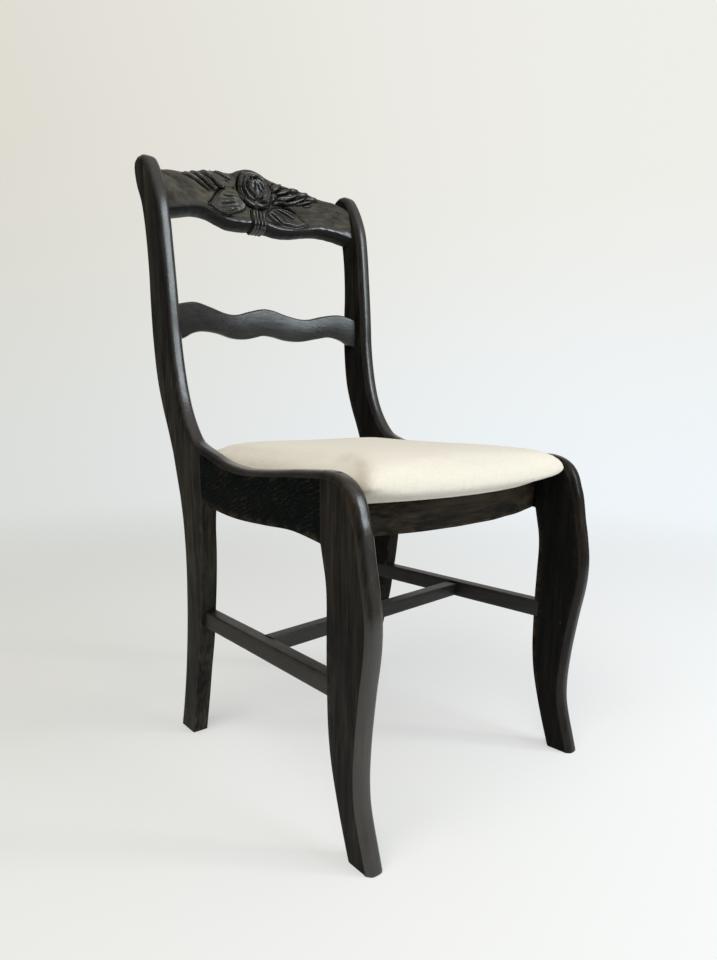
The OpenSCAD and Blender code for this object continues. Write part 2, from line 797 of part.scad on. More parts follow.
back_post(-1);  // back_post_left
back_post(1);  // back_post_right
side_rail(-1);  // side_rail_left
side_rail(1);  // side_rail_right
front_leg(-1);  // front_leg_left
front_leg(1);  // front_leg_right
front_rail();
rear_rail();
crest_rail();
back_slat();
side_stretcher(-1);  // side_stretcher_left
side_stretcher(1);  // side_stretcher_right
cross_stretcher();
corner_block_front(-1);  // corner_block_front_left
corner_block_front(1);  // corner_block_front_right
corner_block_rear(-1);  // corner_block_rear_left
corner_block_rear(1);  // corner_block_rear_right
seat_board();
seat_foam();
seat_cover();
crest_dowels();
post_rail_dowels();
leg_rail_dowels();
front_rail_dowels();
rear_rail_dowels();
side_stretcher_dowels();
cross_stretcher_dowels();
corner_block_screws();
seat_screws();
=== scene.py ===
import logging
import math
from dataclasses import dataclass
from enum import Enum
from typing import Callable, Sequence

import bmesh
import bpy
import numpy as np
from mathutils import Matrix, Vector


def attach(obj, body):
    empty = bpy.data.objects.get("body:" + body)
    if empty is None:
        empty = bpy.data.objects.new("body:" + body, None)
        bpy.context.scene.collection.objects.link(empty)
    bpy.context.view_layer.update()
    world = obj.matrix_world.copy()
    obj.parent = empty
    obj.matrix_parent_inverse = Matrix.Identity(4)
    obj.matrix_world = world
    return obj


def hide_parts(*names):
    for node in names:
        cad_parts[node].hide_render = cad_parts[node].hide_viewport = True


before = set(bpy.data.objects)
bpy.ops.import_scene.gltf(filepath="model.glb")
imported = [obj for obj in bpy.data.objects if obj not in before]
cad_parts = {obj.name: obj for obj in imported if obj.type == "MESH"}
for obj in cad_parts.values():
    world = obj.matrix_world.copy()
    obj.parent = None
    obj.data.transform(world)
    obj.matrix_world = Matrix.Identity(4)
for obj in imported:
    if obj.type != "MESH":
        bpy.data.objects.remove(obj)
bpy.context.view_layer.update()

MM = 0.001
LOG = logging.getLogger("side_chair")
Array = np.ndarray
Colour = tuple[float, float, float]
Point2 = tuple[float, float]
Point3 = tuple[float, float, float]
Node = bpy.types.Node
Socket = bpy.types.NodeSocket
Material = bpy.types.Material
Piece = bpy.types.Object
Strokes = dict[Callable[..., None], tuple[tuple, ...]]


class Side(Enum):
    """The two side frames, by the sign of their X."""

    LEFT = -1
    RIGHT = 1


class Grain(Enum):
    """Direction in which the wood's grain runs: noise is stretched along it."""

    ALONG_X = (0.07, 1.0, 1.0)
    ALONG_Y = (1.0, 0.07, 1.0)
    ALONG_Z = (1.0, 1.0, 0.07)


@dataclass(frozen=True)
class ChairSizes:
    """Sizes in millimetres that several pieces share."""

    back_height: float = 841.0
    post_rise: float = 14.0
    rail_under: float = 371.0
    rail_middle: float = 390.0
    rail_top: float = 449.0
    shoulder: float = 457.0
    board_t: float = 24.0
    crown: float = 8.5
    crown_power: float = 4.0
    rail_len: float = 278.0
    rear_joint: float = 98.0
    half_width: float = 207.0
    splay: float = math.radians(3.07)
    front_bow: float = 36.0
    back_bow: float = 28.0
    back_tuck: float = 0.6

    @property
    def front_joint(self) -> float:
        """Return the depth of the front leg joint."""
        return self.rear_joint - self.rail_len

    @property
    def post_span(self) -> float:
        """Return the height of the back posts above the rails."""
        return self.back_height - self.rail_under

    def inner_half(self, y: Array | float) -> Array | float:
        """Return half the space between the side frames at depth y."""
        across = self.board_t / math.cos(self.splay)
        return self.half_width - across - math.tan(self.splay) * y

    def place(self, points: Array, side: Side) -> Array:
        """Turn side-frame coordinates into chair coordinates.

        Args:
            points: Rows of (x from the outer face, y, z).
            side: The side frame to place them on.

        Returns:
            The same points in the chair's frame.
        """
        c, s = math.cos(self.splay), math.sin(self.splay)
        x = self.half_width + points[..., 0] * c - points[..., 1] * s
        y = points[..., 0] * s + points[..., 1] * c
        return np.stack([x * side.value, y, points[..., 2]], -1)


SIZES = ChairSizes()


def smooth_curve(points: Sequence[Sequence[float]], count: int) -> Array:
    """Run a smooth curve through a few points.

    Args:
        points: The points that the curve passes through.
        count: Number of steps along the curve.

    Returns:
        count + 1 points.
    """
    p = np.asarray(points, float)
    t = np.linspace(0, len(p) - 1, count + 1)
    i = np.minimum(np.floor(t).astype(int), len(p) - 2)
    f = (t - i)[:, None]
    a, b, c = p[np.maximum(i - 1, 0)], p[i], p[i + 1]
    d = p[np.minimum(i + 2, len(p) - 1)]
    return 0.5 * (
        2 * b + (c - a) * f + (2 * a - 5 * b + 4 * c - d) * f**2
        + (3 * b - a - 3 * c + d) * f**3)


def smooth_heights(table: Sequence[Point2], at: Array) -> Array:
    """Read a table of (place, height) as a smooth line."""
    line = smooth_curve(table, 16 * (len(table) - 1))
    return np.interp(at, line[:, 0], line[:, 1])


def ease(x: Array | float) -> Array | float:
    """Return a smooth step from 0 to 1 over x from 0 to 1."""
    x = np.clip(x, 0.0, 1.0)
    return x * x * (3 - 2 * x)


def unit_rows(v: Array) -> Array:
    """Return each row of v at length 1."""
    return v / np.maximum(np.linalg.norm(v, axis=-1, keepdims=True), 1e-9)


def hand_noise(x: Array, z: Array, size: float, seed: int) -> Array:
    """Return a gentle unevenness between -1 and 1, as left by hand tools.

    Args:
        x: First coordinate in millimetres.
        z: Second coordinate in millimetres.
        size: Typical distance between high spots.
        seed: Fixed seed of the pattern.

    Returns:
        One value for each point.
    """
    rng = np.random.default_rng(seed)
    total = np.zeros_like(x + z)
    for _ in range(7):
        angle = rng.uniform(0, math.pi)
        wave = size * rng.uniform(0.6, 1.6)
        phase = rng.uniform(0, 2 * math.pi)
        along = x * math.cos(angle) + z * math.sin(angle)
        total = total + np.sin(2 * math.pi * along / wave + phase)
    return total / 4.5


def blurred(grid: Array, passes: int) -> Array:
    """Ease a grid of heights by averaging neighbours.

    Args:
        grid: Heights, row by row.
        passes: Number of rounds.

    Returns:
        The eased grid.
    """
    for _ in range(passes):
        grid = (
            grid + np.roll(grid, 1, 0) + np.roll(grid, -1, 0)
            + np.roll(grid, 1, 1) + np.roll(grid, -1, 1)) / 5
    return grid


def path_distance(px: Array, pz: Array, path: Sequence[Point2]) -> tuple[Array, Array, Array]:
    """Measure points against an open path.

    Args:
        px: First coordinates.
        pz: Second coordinates.
        path: Points that a smooth path runs through.

    Returns:
        Distance to the path, share of the path's length at the nearest
        point, and the side: positive to the left of its direction.
    """
    line = np.array(path, float)
    if len(path) > 2:
        line = smooth_curve(path, max(4 * (len(path) - 1), 8))
    best = np.full(px.shape, 1e9)
    share, side = np.zeros(px.shape), np.ones(px.shape)
    lengths = np.linalg.norm(np.diff(line, axis=0), axis=1)
    run = np.concatenate([[0.0], np.cumsum(lengths)])
    for k in range(len(line) - 1):
        a, d = line[k], line[k + 1] - line[k]
        f = np.clip(((px - a[0]) * d[0] + (pz - a[1]) * d[1]) / max(d @ d, 1e-9), 0, 1)
        ox, oz = px - a[0] - f * d[0], pz - a[1] - f * d[1]
        away = np.hypot(ox, oz)
        near = away < best
        best = np.where(near, away, best)
        share = np.where(near, (run[k] + f * lengths[k]) / run[-1], share)
        side = np.where(near, np.sign(d[0] * oz - d[1] * ox), side)
    return best, share, side


def inside_outline(px: Array, pz: Array, outline: Array) -> Array:
    """Tell which points lie inside a closed outline.

    Args:
        px: First coordinates.
        pz: Second coordinates.
        outline: Points round the shape.

    Returns:
        A mask of the points.
    """
    inside = np.zeros(px.shape, bool)
    for (x0, z0), (x1, z1) in zip(np.roll(outline, 1, 0), outline):
        with np.errstate(divide="ignore", invalid="ignore"):
            at = x0 + (pz - z0) * (x1 - x0) / (z1 - z0)
        inside ^= ((z0 > pz) != (z1 > pz)) & (px < at)
    return inside


def outward(mesh: bpy.types.Mesh) -> None:
    """Point a closed mesh's faces outwards and shade them smooth.

    Args:
        mesh: The mesh to change.
    """
    work = bmesh.new()
    work.from_mesh(mesh)
    bmesh.ops.recalc_face_normals(work, faces=work.faces)
    work.to_mesh(mesh)
    work.free()
    mesh.shade_smooth()
    mesh.set_sharp_from_angle(angle=math.radians(60))
    mesh.update()


def make_piece(name: str, points: Array, faces: Sequence[Sequence[int]]) -> Piece:
    """Build a closed, smooth-shaded piece and link it to the scene.

    Args:
        name: Name of the piece.
        points: Corner points in millimetres.
        faces: Lists of point numbers.

    Returns:
        The new object.
    """
    mesh = bpy.data.meshes.new(name)
    mesh.from_pydata((np.asarray(points) * MM).tolist(), [], faces)
    outward(mesh)
    piece = bpy.data.objects.new(name, mesh)
    bpy.context.scene.collection.objects.link(piece)
    return piece


def mark(piece: Piece, **marks: Array) -> None:
    """Store values from 0 to 1 on a piece's points, by attribute name.

    Args:
        piece: The piece to mark.
        **marks: Values of its first points; the rest get 0.
    """
    for name, values in marks.items():
        full = np.zeros(len(piece.data.vertices), np.float32)
        full[: values.size] = values.ravel()
        layer = piece.data.attributes.new(name, "FLOAT", "POINT")
        layer.data.foreach_set("value", full)


def number_faces(piece: Piece, kinds: Array) -> None:
    """Give the first faces the numbers of their finishes, and the rest 0.

    Args:
        piece: The piece to number.
        kinds: Numbers of its first faces.
    """
    numbers = np.zeros(len(piece.data.polygons), np.int32)
    numbers[: kinds.size] = kinds.ravel()
    piece.data.polygons.foreach_set("material_index", numbers)


def keep_result(piece: Piece) -> None:
    """Turn what the modifiers make into the piece's plain mesh.

    Args:
        piece: The piece with its modifiers.
    """
    graph = bpy.context.evaluated_depsgraph_get()
    mesh = bpy.data.meshes.new_from_object(piece.evaluated_get(graph), depsgraph=graph)
    piece.modifiers.clear()
    piece.data = mesh


def ring_faces(rings: int, size: int) -> list[list[int]]:
    """List the quads of a tube.

    Args:
        rings: Number of rings.
        size: Points in each ring.

    Returns:
        The faces between neighbouring rings.
    """
    return [
        [k + i, k + (i + 1) % size, k + size + (i + 1) % size, k + size + i]
        for k in range(0, (rings - 1) * size, size) for i in range(size)]


def tube_piece(name: str, rings: Array, **marks: Array) -> Piece:
    """Close a stack of equal rings with a fan at each end.

    Args:
        name: Name of the piece.
        rings: Points in millimetres, as (ring, point, xyz).
        **marks: Values of the same points, by attribute name.

    Returns:
        The new piece.
    """
    count, size = rings.shape[:2]
    points = np.concatenate([rings.reshape(-1, 3), [rings[0].mean(0), rings[-1].mean(0)]])
    faces = ring_faces(count, size)
    last = (count - 1) * size
    for i in range(size):
        j = (i + 1) % size
        faces += [[j, i, count * size], [last + i, last + j, count * size + 1]]
    piece = make_piece(name, points, faces)
    mark(piece, **marks)
    return piece


class NodeBench:
    """A short way to lay out nodes, whatever they make."""

    def __init__(self, tree: bpy.types.NodeTree) -> None:
        """Start on an emptied tree."""
        self.tree = tree
        tree.nodes.clear()

    def add(self, kind: str, feeds: dict | None = None, **settings: object) -> Node:
        """Add a node.

        Args:
            kind: Blender's name of the node type.
            feeds: Sockets or plain values, by the input's name or number.
            **settings: Properties of the node.

        Returns:
            The new node.
        """
        node = self.tree.nodes.new(kind)
        for key, value in settings.items():
            setattr(node, key, value)
        for key, value in (feeds or {}).items():
            self.feed(node.inputs[key], value)
        return node

    def out(self, kind: str, feeds: dict | None = None, **settings: object) -> Socket:
        """Add a node as add does, and return its first output."""
        return self.add(kind, feeds, **settings).outputs[0]

    def feed(self, socket: Socket, value: object) -> None:
        """Link a socket, or write a plain value or a colour into it.

        Args:
            socket: The input to feed.
            value: A socket, a value or a colour.
        """
        if isinstance(value, Socket):
            self.tree.links.new(value, socket)
        else:
            socket.default_value = (*value, 1.0) if socket.type == "RGBA" else value

    def math(self, kind: str, a: object, b: object, c: object = 0.0) -> Socket:
        """Combine two values, or three in MULTIPLY_ADD.

        Args:
            kind: Blender's name of the operation.
            a: First socket or number.
            b: Second socket or number.
            c: Third socket or number.

        Returns:
            The result's socket.
        """
        return self.out("ShaderNodeMath", {0: a, 1: b, 2: c}, operation=kind)

    def ramp(
        self, value: Socket, low: float, high: float, least: float = 0.0,
        most: float = 1.0, smooth: bool = False,
    ) -> Socket:
        """Stretch a value.

        Args:
            value: Socket to stretch.
            low: Value that becomes the least.
            high: Value that becomes the most.
            least: Lowest result.
            most: Highest result.
            smooth: Whether it eases in and out.

        Returns:
            The stretched socket.
        """
        ends = {"From Min": low, "From Max": high, "To Min": least, "To Max": most}
        return self.out(
            "ShaderNodeMapRange", {"Value": value} | ends,
            interpolation_type="SMOOTHSTEP" if smooth else "LINEAR")

    def toward(
        self, way: Socket, aim: Sequence[float], low: float, high: float,
        least: float = 0.0, most: float = 1.0,
    ) -> Socket:
        """Grade a value by how far a vector reaches towards an aim.

        Args:
            way: The vector's socket.
            aim: Direction of the highest value.
            low: Reach at which the value is least.
            high: Reach at which it is most.
            least: The least value.
            most: The most value.

        Returns:
            The value's socket.
        """
        reach = self.add(
            "ShaderNodeVectorMath", {0: way, 1: Vector(aim).normalized()},
            operation="DOT_PRODUCT").outputs["Value"]
        return self.ramp(reach, low, high, least, most, True)

    def blend(self, factor: object, a: object, b: object, kind: str = "MIX") -> Socket:
        """Mix two colours.

        Args:
            factor: Share of the second colour.
            a: First colour or socket.
            b: Second colour or socket.
            kind: Blender's name of the mixing.

        Returns:
            The mixed colour's socket.
        """
        return self.add(
            "ShaderNodeMix", {0: factor, 6: a, 7: b}, data_type="RGBA", blend_type=kind,
        ).outputs[2]


class FinishBench(NodeBench):
    """The nodes of one material."""

    def __init__(self, name: str) -> None:
        """Start a material with its shader and output.

        Args:
            name: Name of the material.
        """
        self.material = bpy.data.materials.new(name)
        self.material.use_nodes = True
        super().__init__(self.material.node_tree)
        self.shader = self.add("ShaderNodeBsdfPrincipled")
        self.surface = self.add(
            "ShaderNodeOutputMaterial", {"Surface": self.shader.outputs[0]}).inputs["Surface"]
        self.coords = self.add("ShaderNodeTexCoord").outputs["Object"]

    def paint(self, **values: object) -> Material:
        """Feed the shader and end the material.

        Args:
            **values: The shader's inputs, with _ for a space.

        Returns:
            The material.
        """
        for name, value in values.items():
            self.feed(self.shader.inputs[name.replace("_", " ")], value)
        return self.material

    def stretch(self, scale: Sequence[float], source: Socket | None = None) -> Socket:
        """Scale coordinates: the object's own, or those of a source."""
        return self.out("ShaderNodeMapping", {"Vector": source or self.coords, "Scale": scale})

    def noise(self, coords: Socket, scale: float, detail: float, rough: float) -> Socket:
        """Add a cloudy noise.

        Args:
            coords: Coordinates' socket.
            scale: Clouds per metre.
            detail: Number of finer layers.
            rough: Strength of the finer layers.

        Returns:
            The noise's socket.
        """
        return self.out("ShaderNodeTexNoise", {
            "Vector": coords, "Scale": scale, "Detail": detail, "Roughness": rough})

    def bands(self, coords: Socket, way: str, **values: float) -> Socket:
        """Add a wave of bands.

        Args:
            coords: Coordinates' socket.
            way: Blender's name of the direction.
            **values: The wave's inputs, with _ for a space in each name.

        Returns:
            The wave's socket.
        """
        feeds = {name.replace("_", " "): value for name, value in values.items()}
        return self.add(
            "ShaderNodeTexWave", {"Vector": coords} | feeds, bands_direction=way,
        ).outputs["Fac"]

    def clamped(self, a: Socket, b: object) -> Socket:
        """Return the product of two values, kept between 0 and 1."""
        return self.out(
            "ShaderNodeMath", {0: a, 1: b}, operation="MULTIPLY", use_clamp=True)

    def attribute(self, name: str) -> Socket:
        """Return the socket of one of the piece's own attributes."""
        return self.add("ShaderNodeAttribute", attribute_name=name).outputs["Fac"]

    def bump(
        self, height: Socket, depth: float, strength: float, under: Socket | None = None,
    ) -> Socket:
        """Add a bump.

        Args:
            height: Height socket.
            depth: Height of a full step in metres.
            strength: Share of it that shows.
            under: Another bump's socket, below this one.

        Returns:
            The normal's socket.
        """
        feeds = {"Height": height, "Distance": depth, "Strength": strength}
        return self.out("ShaderNodeBump", feeds | ({"Normal": under} if under else {}))


@dataclass(frozen=True)
class EbonisedFinish:
    """Black-stained hardwood, polished by hands and rubbed at its arrises.

    The attribute arris marks worn edges, polish the parts that hands have
    made smooth, and hollow the carving's deep places, where shade is painted.
    """

    name: str
    grain: Grain
    dark: Colour = (0.0035, 0.004, 0.0045)
    warm: Colour = (0.030, 0.027, 0.021)
    rubbed: Colour = (0.10, 0.075, 0.045)
    # Near-black colour of the painted shade in the carving's hollow places.
    hollow_shade: Colour = (0.0008, 0.0008, 0.0008)
    warmth: float = 0.6
    rub: float = 0.5
    dull: float = 0.46
    smooth: float = 0.3
    gloss: float = 0.42
    figure: float = 0.0
    paints_hollow_shade: bool = False

    def material(self) -> Material:
        """Build the finish.

        Returns:
            The material.
        """
        b = FinishBench(self.name)
        along = b.stretch(self.grain.value)
        line, pore = b.noise(along, 240.0, 5.0, 0.6), b.noise(along, 1100.0, 3.0, 0.6)
        broad = b.noise(along, 55.0, 3.0, 0.5)
        cloud, patch = b.noise(b.coords, 9.0, 4.0, 0.6), b.noise(b.coords, 60.0, 6.0, 0.7)
        fibre = b.math("MULTIPLY", b.ramp(line, 0.36, 0.7), b.ramp(cloud, 0.25, 0.75))
        fibre = b.math("MULTIPLY_ADD", b.ramp(broad, 0.4, 0.72), 0.45, fibre)
        base = b.blend(b.clamped(fibre, self.warmth), self.dark, self.warm)
        if self.figure:
            slant = b.bands(
                b.stretch((1.0, 0.8, 1.9)), "DIAGONAL", Scale=52.0, Distortion=9.0,
                Detail=3.0, Detail_Scale=1.6)
            flash = b.math("MULTIPLY", b.ramp(slant, 0.7, 1.0), b.ramp(patch, 0.4, 0.62))
            base = b.blend(b.math("MULTIPLY", flash, self.figure), base, self.warm)
        worn = b.math("MULTIPLY", b.attribute("arris"), b.ramp(patch, 0.46, 0.7))
        specks = b.out("ShaderNodeTexVoronoi", {"Vector": b.coords, "Scale": 34.0})
        dot = b.math("MULTIPLY", b.ramp(specks, 0.06, 0.035), b.ramp(cloud, 0.56, 0.62))
        worn = b.math("MAXIMUM", b.clamped(worn, self.rub), b.math("MULTIPLY", dot, 0.6))
        base = b.blend(worn, base, self.rubbed)
        # Painted shade: the carving's hollow places are darkened towards near black.
        if self.paints_hollow_shade:
            base = b.blend(b.attribute("hollow"), base, self.hollow_shade)
        rough = b.math(
            "MULTIPLY_ADD", b.attribute("polish"), self.smooth - self.dull, self.dull - 0.15)
        for value, share in ((line, 0.16), (patch, 0.14), (worn, 0.2)):
            rough = b.math("MULTIPLY_ADD", value, share, rough)
        low = b.bump(b.noise(b.coords, 34.0, 3.0, 0.55), 0.0016, 0.3)
        mid = b.bump(b.math("MULTIPLY_ADD", patch, 0.5, line), 0.0005, 0.5, low)
        return b.paint(
            Base_Color=base, Roughness=rough, Normal=b.bump(pore, 0.00018, 0.5, mid),
            Specular_IOR_Level=self.gloss)


@dataclass(frozen=True)
class LinenFinish:
    """Cream plain-woven linen with a faint tan staining and painted shade."""

    name: str
    cream: Colour = (0.80, 0.765, 0.68)
    shade: Colour = (0.70, 0.66, 0.57)
    tan: Colour = (0.55, 0.45, 0.31)
    threads: float = 1150.0

    def material(self) -> Material:
        """Build the finish.

        Returns:
            The material.
        """
        b = FinishBench(self.name)
        cloth = b.out("ShaderNodeUVMap", uv_map="cloth")
        slubs = [
            b.noise(b.stretch(scale, cloth), 260.0, 4.0, 0.6)
            for scale in ((0.25, 1.0, 1.0), (1.0, 0.25, 1.0))]
        threads = [
            b.bands(cloth, way, Scale=self.threads / 6.2832, Distortion=0.6, Detail=1.0,
                    Detail_Scale=0.4)
            for way in "XY"]
        weave, uneven = b.math("MULTIPLY", *threads), b.math("ADD", *slubs)
        tone = b.math("MULTIPLY", b.ramp(uneven, 0.75, 1.3), 0.55)
        base = b.blend(tone, self.cream, self.shade)
        base = b.blend(b.math("MULTIPLY", weave, 0.15), base, self.shade)
        cloud = b.ramp(b.noise(b.coords, 26.0, 5.0, 0.62), 0.3, 0.7)
        # Tan stains, and painted shade along the pad's right and rear edges, from the pad's own
        # mark.
        base = b.blend(b.clamped(b.attribute("soil"), cloud), base, self.tan)
        low = b.bump(uneven, 0.0009, 0.6)
        return b.paint(
            Base_Color=base, Roughness=0.92, Sheen_Weight=0.15, Sheen_Roughness=0.5,
            Specular_IOR_Level=0.2, Normal=b.bump(weave, 0.0003, 0.5, low))


@dataclass(frozen=True)
class RawTimberFinish:
    """Unfinished pale timber of the hidden blocks, dowels and board."""

    name: str
    grain: Grain
    pale: Colour = (0.50, 0.34, 0.19)
    deep: Colour = (0.30, 0.18, 0.09)
    layers: float = 0.0

    def material(self) -> Material:
        """Build the finish.

        Returns:
            The material.
        """
        b = FinishBench(self.name)
        streak = b.noise(b.stretch(self.grain.value), 160.0, 6.0, 0.65)
        cloud = b.math("MULTIPLY", b.noise(b.coords, 18.0, 3.0, 0.5), 0.3)
        tone = b.math("MULTIPLY_ADD", streak, 0.7, cloud)
        base = b.blend(b.ramp(tone, 0.3, 0.7), self.pale, self.deep)
        if self.layers:
            ply = b.math("MULTIPLY", b.bands(b.coords, "Z", Scale=self.layers), 0.3)
            base = b.blend(ply, base, self.deep)
        return b.paint(
            Base_Color=base, Roughness=0.72, Normal=b.bump(streak, 0.0003, 0.4))


@dataclass(frozen=True)
class PlatedSteelFinish:
    """Zinc-plated screw steel."""

    name: str
    tint: Colour = (0.52, 0.52, 0.50)
    dulled: Colour = (0.36, 0.35, 0.32)

    def material(self) -> Material:
        """Build the finish.

        Returns:
            The material.
        """
        b = FinishBench(self.name)
        cloud = b.noise(b.coords, 300.0, 4.0, 0.6)
        return b.paint(
            Base_Color=b.blend(b.ramp(cloud, 0.4, 0.7), self.tint, self.dulled),
            Metallic=1.0, Roughness=b.ramp(cloud, -0.6, 1.6))


def dress(piece: Piece, finishes: Sequence[Material], slot: str, *nodes: str) -> None:
    """Give a finished piece its materials and place, and hide the nodes it stands for.

    Args:
        piece: The piece.
        finishes: Its materials, in the order of its faces' numbers.
        slot: Name of the record's material slot; not used.
        *nodes: The frame's nodes that it stands for.
    """
    mesh = piece.data
    numbers = np.zeros(len(mesh.polygons), np.int32)
    mesh.polygons.foreach_get("material_index", numbers)
    mesh.materials.clear()
    for finish in finishes:
        mesh.materials.append(finish)
    number_faces(piece, numbers)
    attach(piece, "root")
    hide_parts(*nodes)
    LOG.info("%s: %d faces", piece.name, len(mesh.polygons))


@dataclass
class SawnBoard:
    """A board sawn to two edges: the front one is rounded right across.

    Each row of edge faces the same row of back. turns sets the direction of
    the rounding at the first or last row, so that joints meet.
    """

    name: str
    edge: Array
    back: Array
    turns: dict[int, Point2]
    flush: tuple[float, ...]
    tip: bool = False
    sizes: ChairSizes = SIZES
    arris_r: float = 1.3
    cheek_rows: Point2 = (0.15, 0.85)
    foot_rows: tuple[Point2, ...] = ((2.4, 0.0), (0.8, 0.5), (0.0, 2.0))

    def levels(self) -> Array:
        """Lay out the slices across the board.

        Returns:
            Their distances from the outer face.
        """
        t = self.sizes.board_t
        half = [0.0, 0.12, 0.35, 0.75, 1.3, 1.9, 2.8, 4.2, 6.2, 8.8]
        return np.array(half + [t / 2] + [t - v for v in reversed(half)])

    def crown_drop(self, x: Array) -> Array:
        """Return how far the rounded edge falls back at each slice."""
        half = self.sizes.board_t / 2
        return self.sizes.crown * np.abs(x / half - 1) ** self.sizes.crown_power

    def arris_drop(self, x: Array, r: Array) -> Array:
        """Find how far corners of radius r fall back at each slice.

        Args:
            x: The slices' distances from the outer face.
            r: Radius at each point of the outline.

        Returns:
            One row of drops for each slice.
        """
        near = np.minimum(x, self.sizes.board_t - x)[:, None]
        inside = np.clip(r - near, 0.0, None)
        return r - np.sqrt(np.maximum(r**2 - inside**2, 0.0))

    def soften_foot(self) -> None:
        """Replace the last rows by three that round the foot's corners."""
        lines = (self.edge, self.back)
        drop = max(int(np.sum(line[-20:, 1] < 3.4)) for line in lines)
        rounded = []
        for line, sign in zip(lines, (1.0, -1.0)):
            low = line[-20:][::-1]
            rows = [
                [np.interp(height, low[:, 1], low[:, 0]) + sign * draw, height]
                for height, draw in self.foot_rows]
            rounded.append(np.concatenate([line[:-drop], rows]))
        self.edge, self.back = rounded

    def inward(self, loop: Array, rows: int) -> Array:
        """Find the direction into the board round its outline.

        Args:
            loop: Points of the outline.
            rows: Number of them on the rounded edge.

        Returns:
            A direction for each point.
        """
        before, after = np.roll(loop, 1, 0), np.roll(loop, -1, 0)
        along = unit_rows(after - before)
        side = np.stack([-along[:, 1], along[:, 0]], 1)
        area = np.sum(loop[:, 0] * after[:, 1] - after[:, 0] * loop[:, 1])
        side *= 1.0 if area > 0 else -1.0
        for row, turn in self.turns.items():
            away = np.linalg.norm(loop[:rows] - loop[row % rows], axis=1)
            share = ease(1 - away / 14.0)[:, None]
            side[:rows] = unit_rows(side[:rows] * (1 - share) + np.array(turn) * share)
        return side

    def build(self, side: Side, crowned: Array) -> Piece:
        """Build the board.

        Args:
            side: Side frame that the board belongs to.
            crowned: Share of the full rounding at each row of the edge.

        Returns:
            The new piece.
        """
        n, e, b = len(self.edge), self.edge, self.back
        foot = [e[-1] + (b[-1] - e[-1]) * v for v in self.cheek_rows]
        head = [b[0] + (e[0] - b[0]) * v for v in self.cheek_rows]
        loop = np.concatenate([e, foot, b[::-1], head])
        count = len(loop)
        crown = np.zeros(count)
        crown[:n] = crowned
        round_r = np.full(count, self.arris_r)
        if self.tip:
            behind = np.linalg.norm(loop - e[0], axis=1)
            crown[n + 2 :] = 0.75 * (1 - ease(behind / 20.0))[n + 2 :]
            round_r += 3.0 * (1 - ease(behind / 30.0))
            crown[:n] *= 0.75 + 0.25 * ease(behind[:n] / 18.0)
        plain = np.any([np.abs(loop[:, 0] - line) < 0.05 for line in self.flush], axis=0)
        round_r[plain] = 0.03
        x = self.levels()
        drop = self.crown_drop(x)[:, None] * crown + self.arris_drop(x, round_r) * (1 - crown)
        yz = loop[None] + self.inward(loop, n)[None] * drop[..., None]
        across = np.broadcast_to(-x[:, None, None], yz.shape[:2] + (1,))
        rings = np.concatenate([across, yz], -1)
        faces, points = ring_faces(len(x), count), [rings.reshape(-1, 3)]
        total = len(x) * count
        for k in (0, len(x) - 1):
            grid = np.zeros((n, 4), int)
            grid[:, 0], grid[:, 3] = np.arange(n), 2 * n + 1 - np.arange(n)
            grid[-1, 1:3], grid[0, 1:3] = (n, n + 1), (2 * n + 3, 2 * n + 2)
            grid += k * count
            a, d = rings[k, 1 : n - 1], rings[k, n + 3 : 2 * n + 1][::-1]
            for column, share in enumerate(self.cheek_rows, 1):
                grid[1:-1, column] = total + np.arange(n - 2)
                total += n - 2
                points.append(a + (d - a) * share)
            quads = (grid[:-1, :-1], grid[:-1, 1:], grid[1:, 1:], grid[1:, :-1])
            faces += np.stack(quads, -1).reshape(-1, 4).tolist()
        piece = make_piece(self.name, self.sizes.place(np.concatenate(points), side), faces)
        near = np.minimum(x, self.sizes.board_t - x)[:, None]
        sharp = (1 - 0.75 * crown) * ~plain
        mark(piece, arris=np.exp(-near / 0.9) * sharp, polish=np.clip(near / 2.0, 0, 1) * crown)
        band = np.maximum(crown, np.roll(crown, -1)) > 0.3
        number_faces(piece, np.tile(band, len(x) - 1))
        return piece


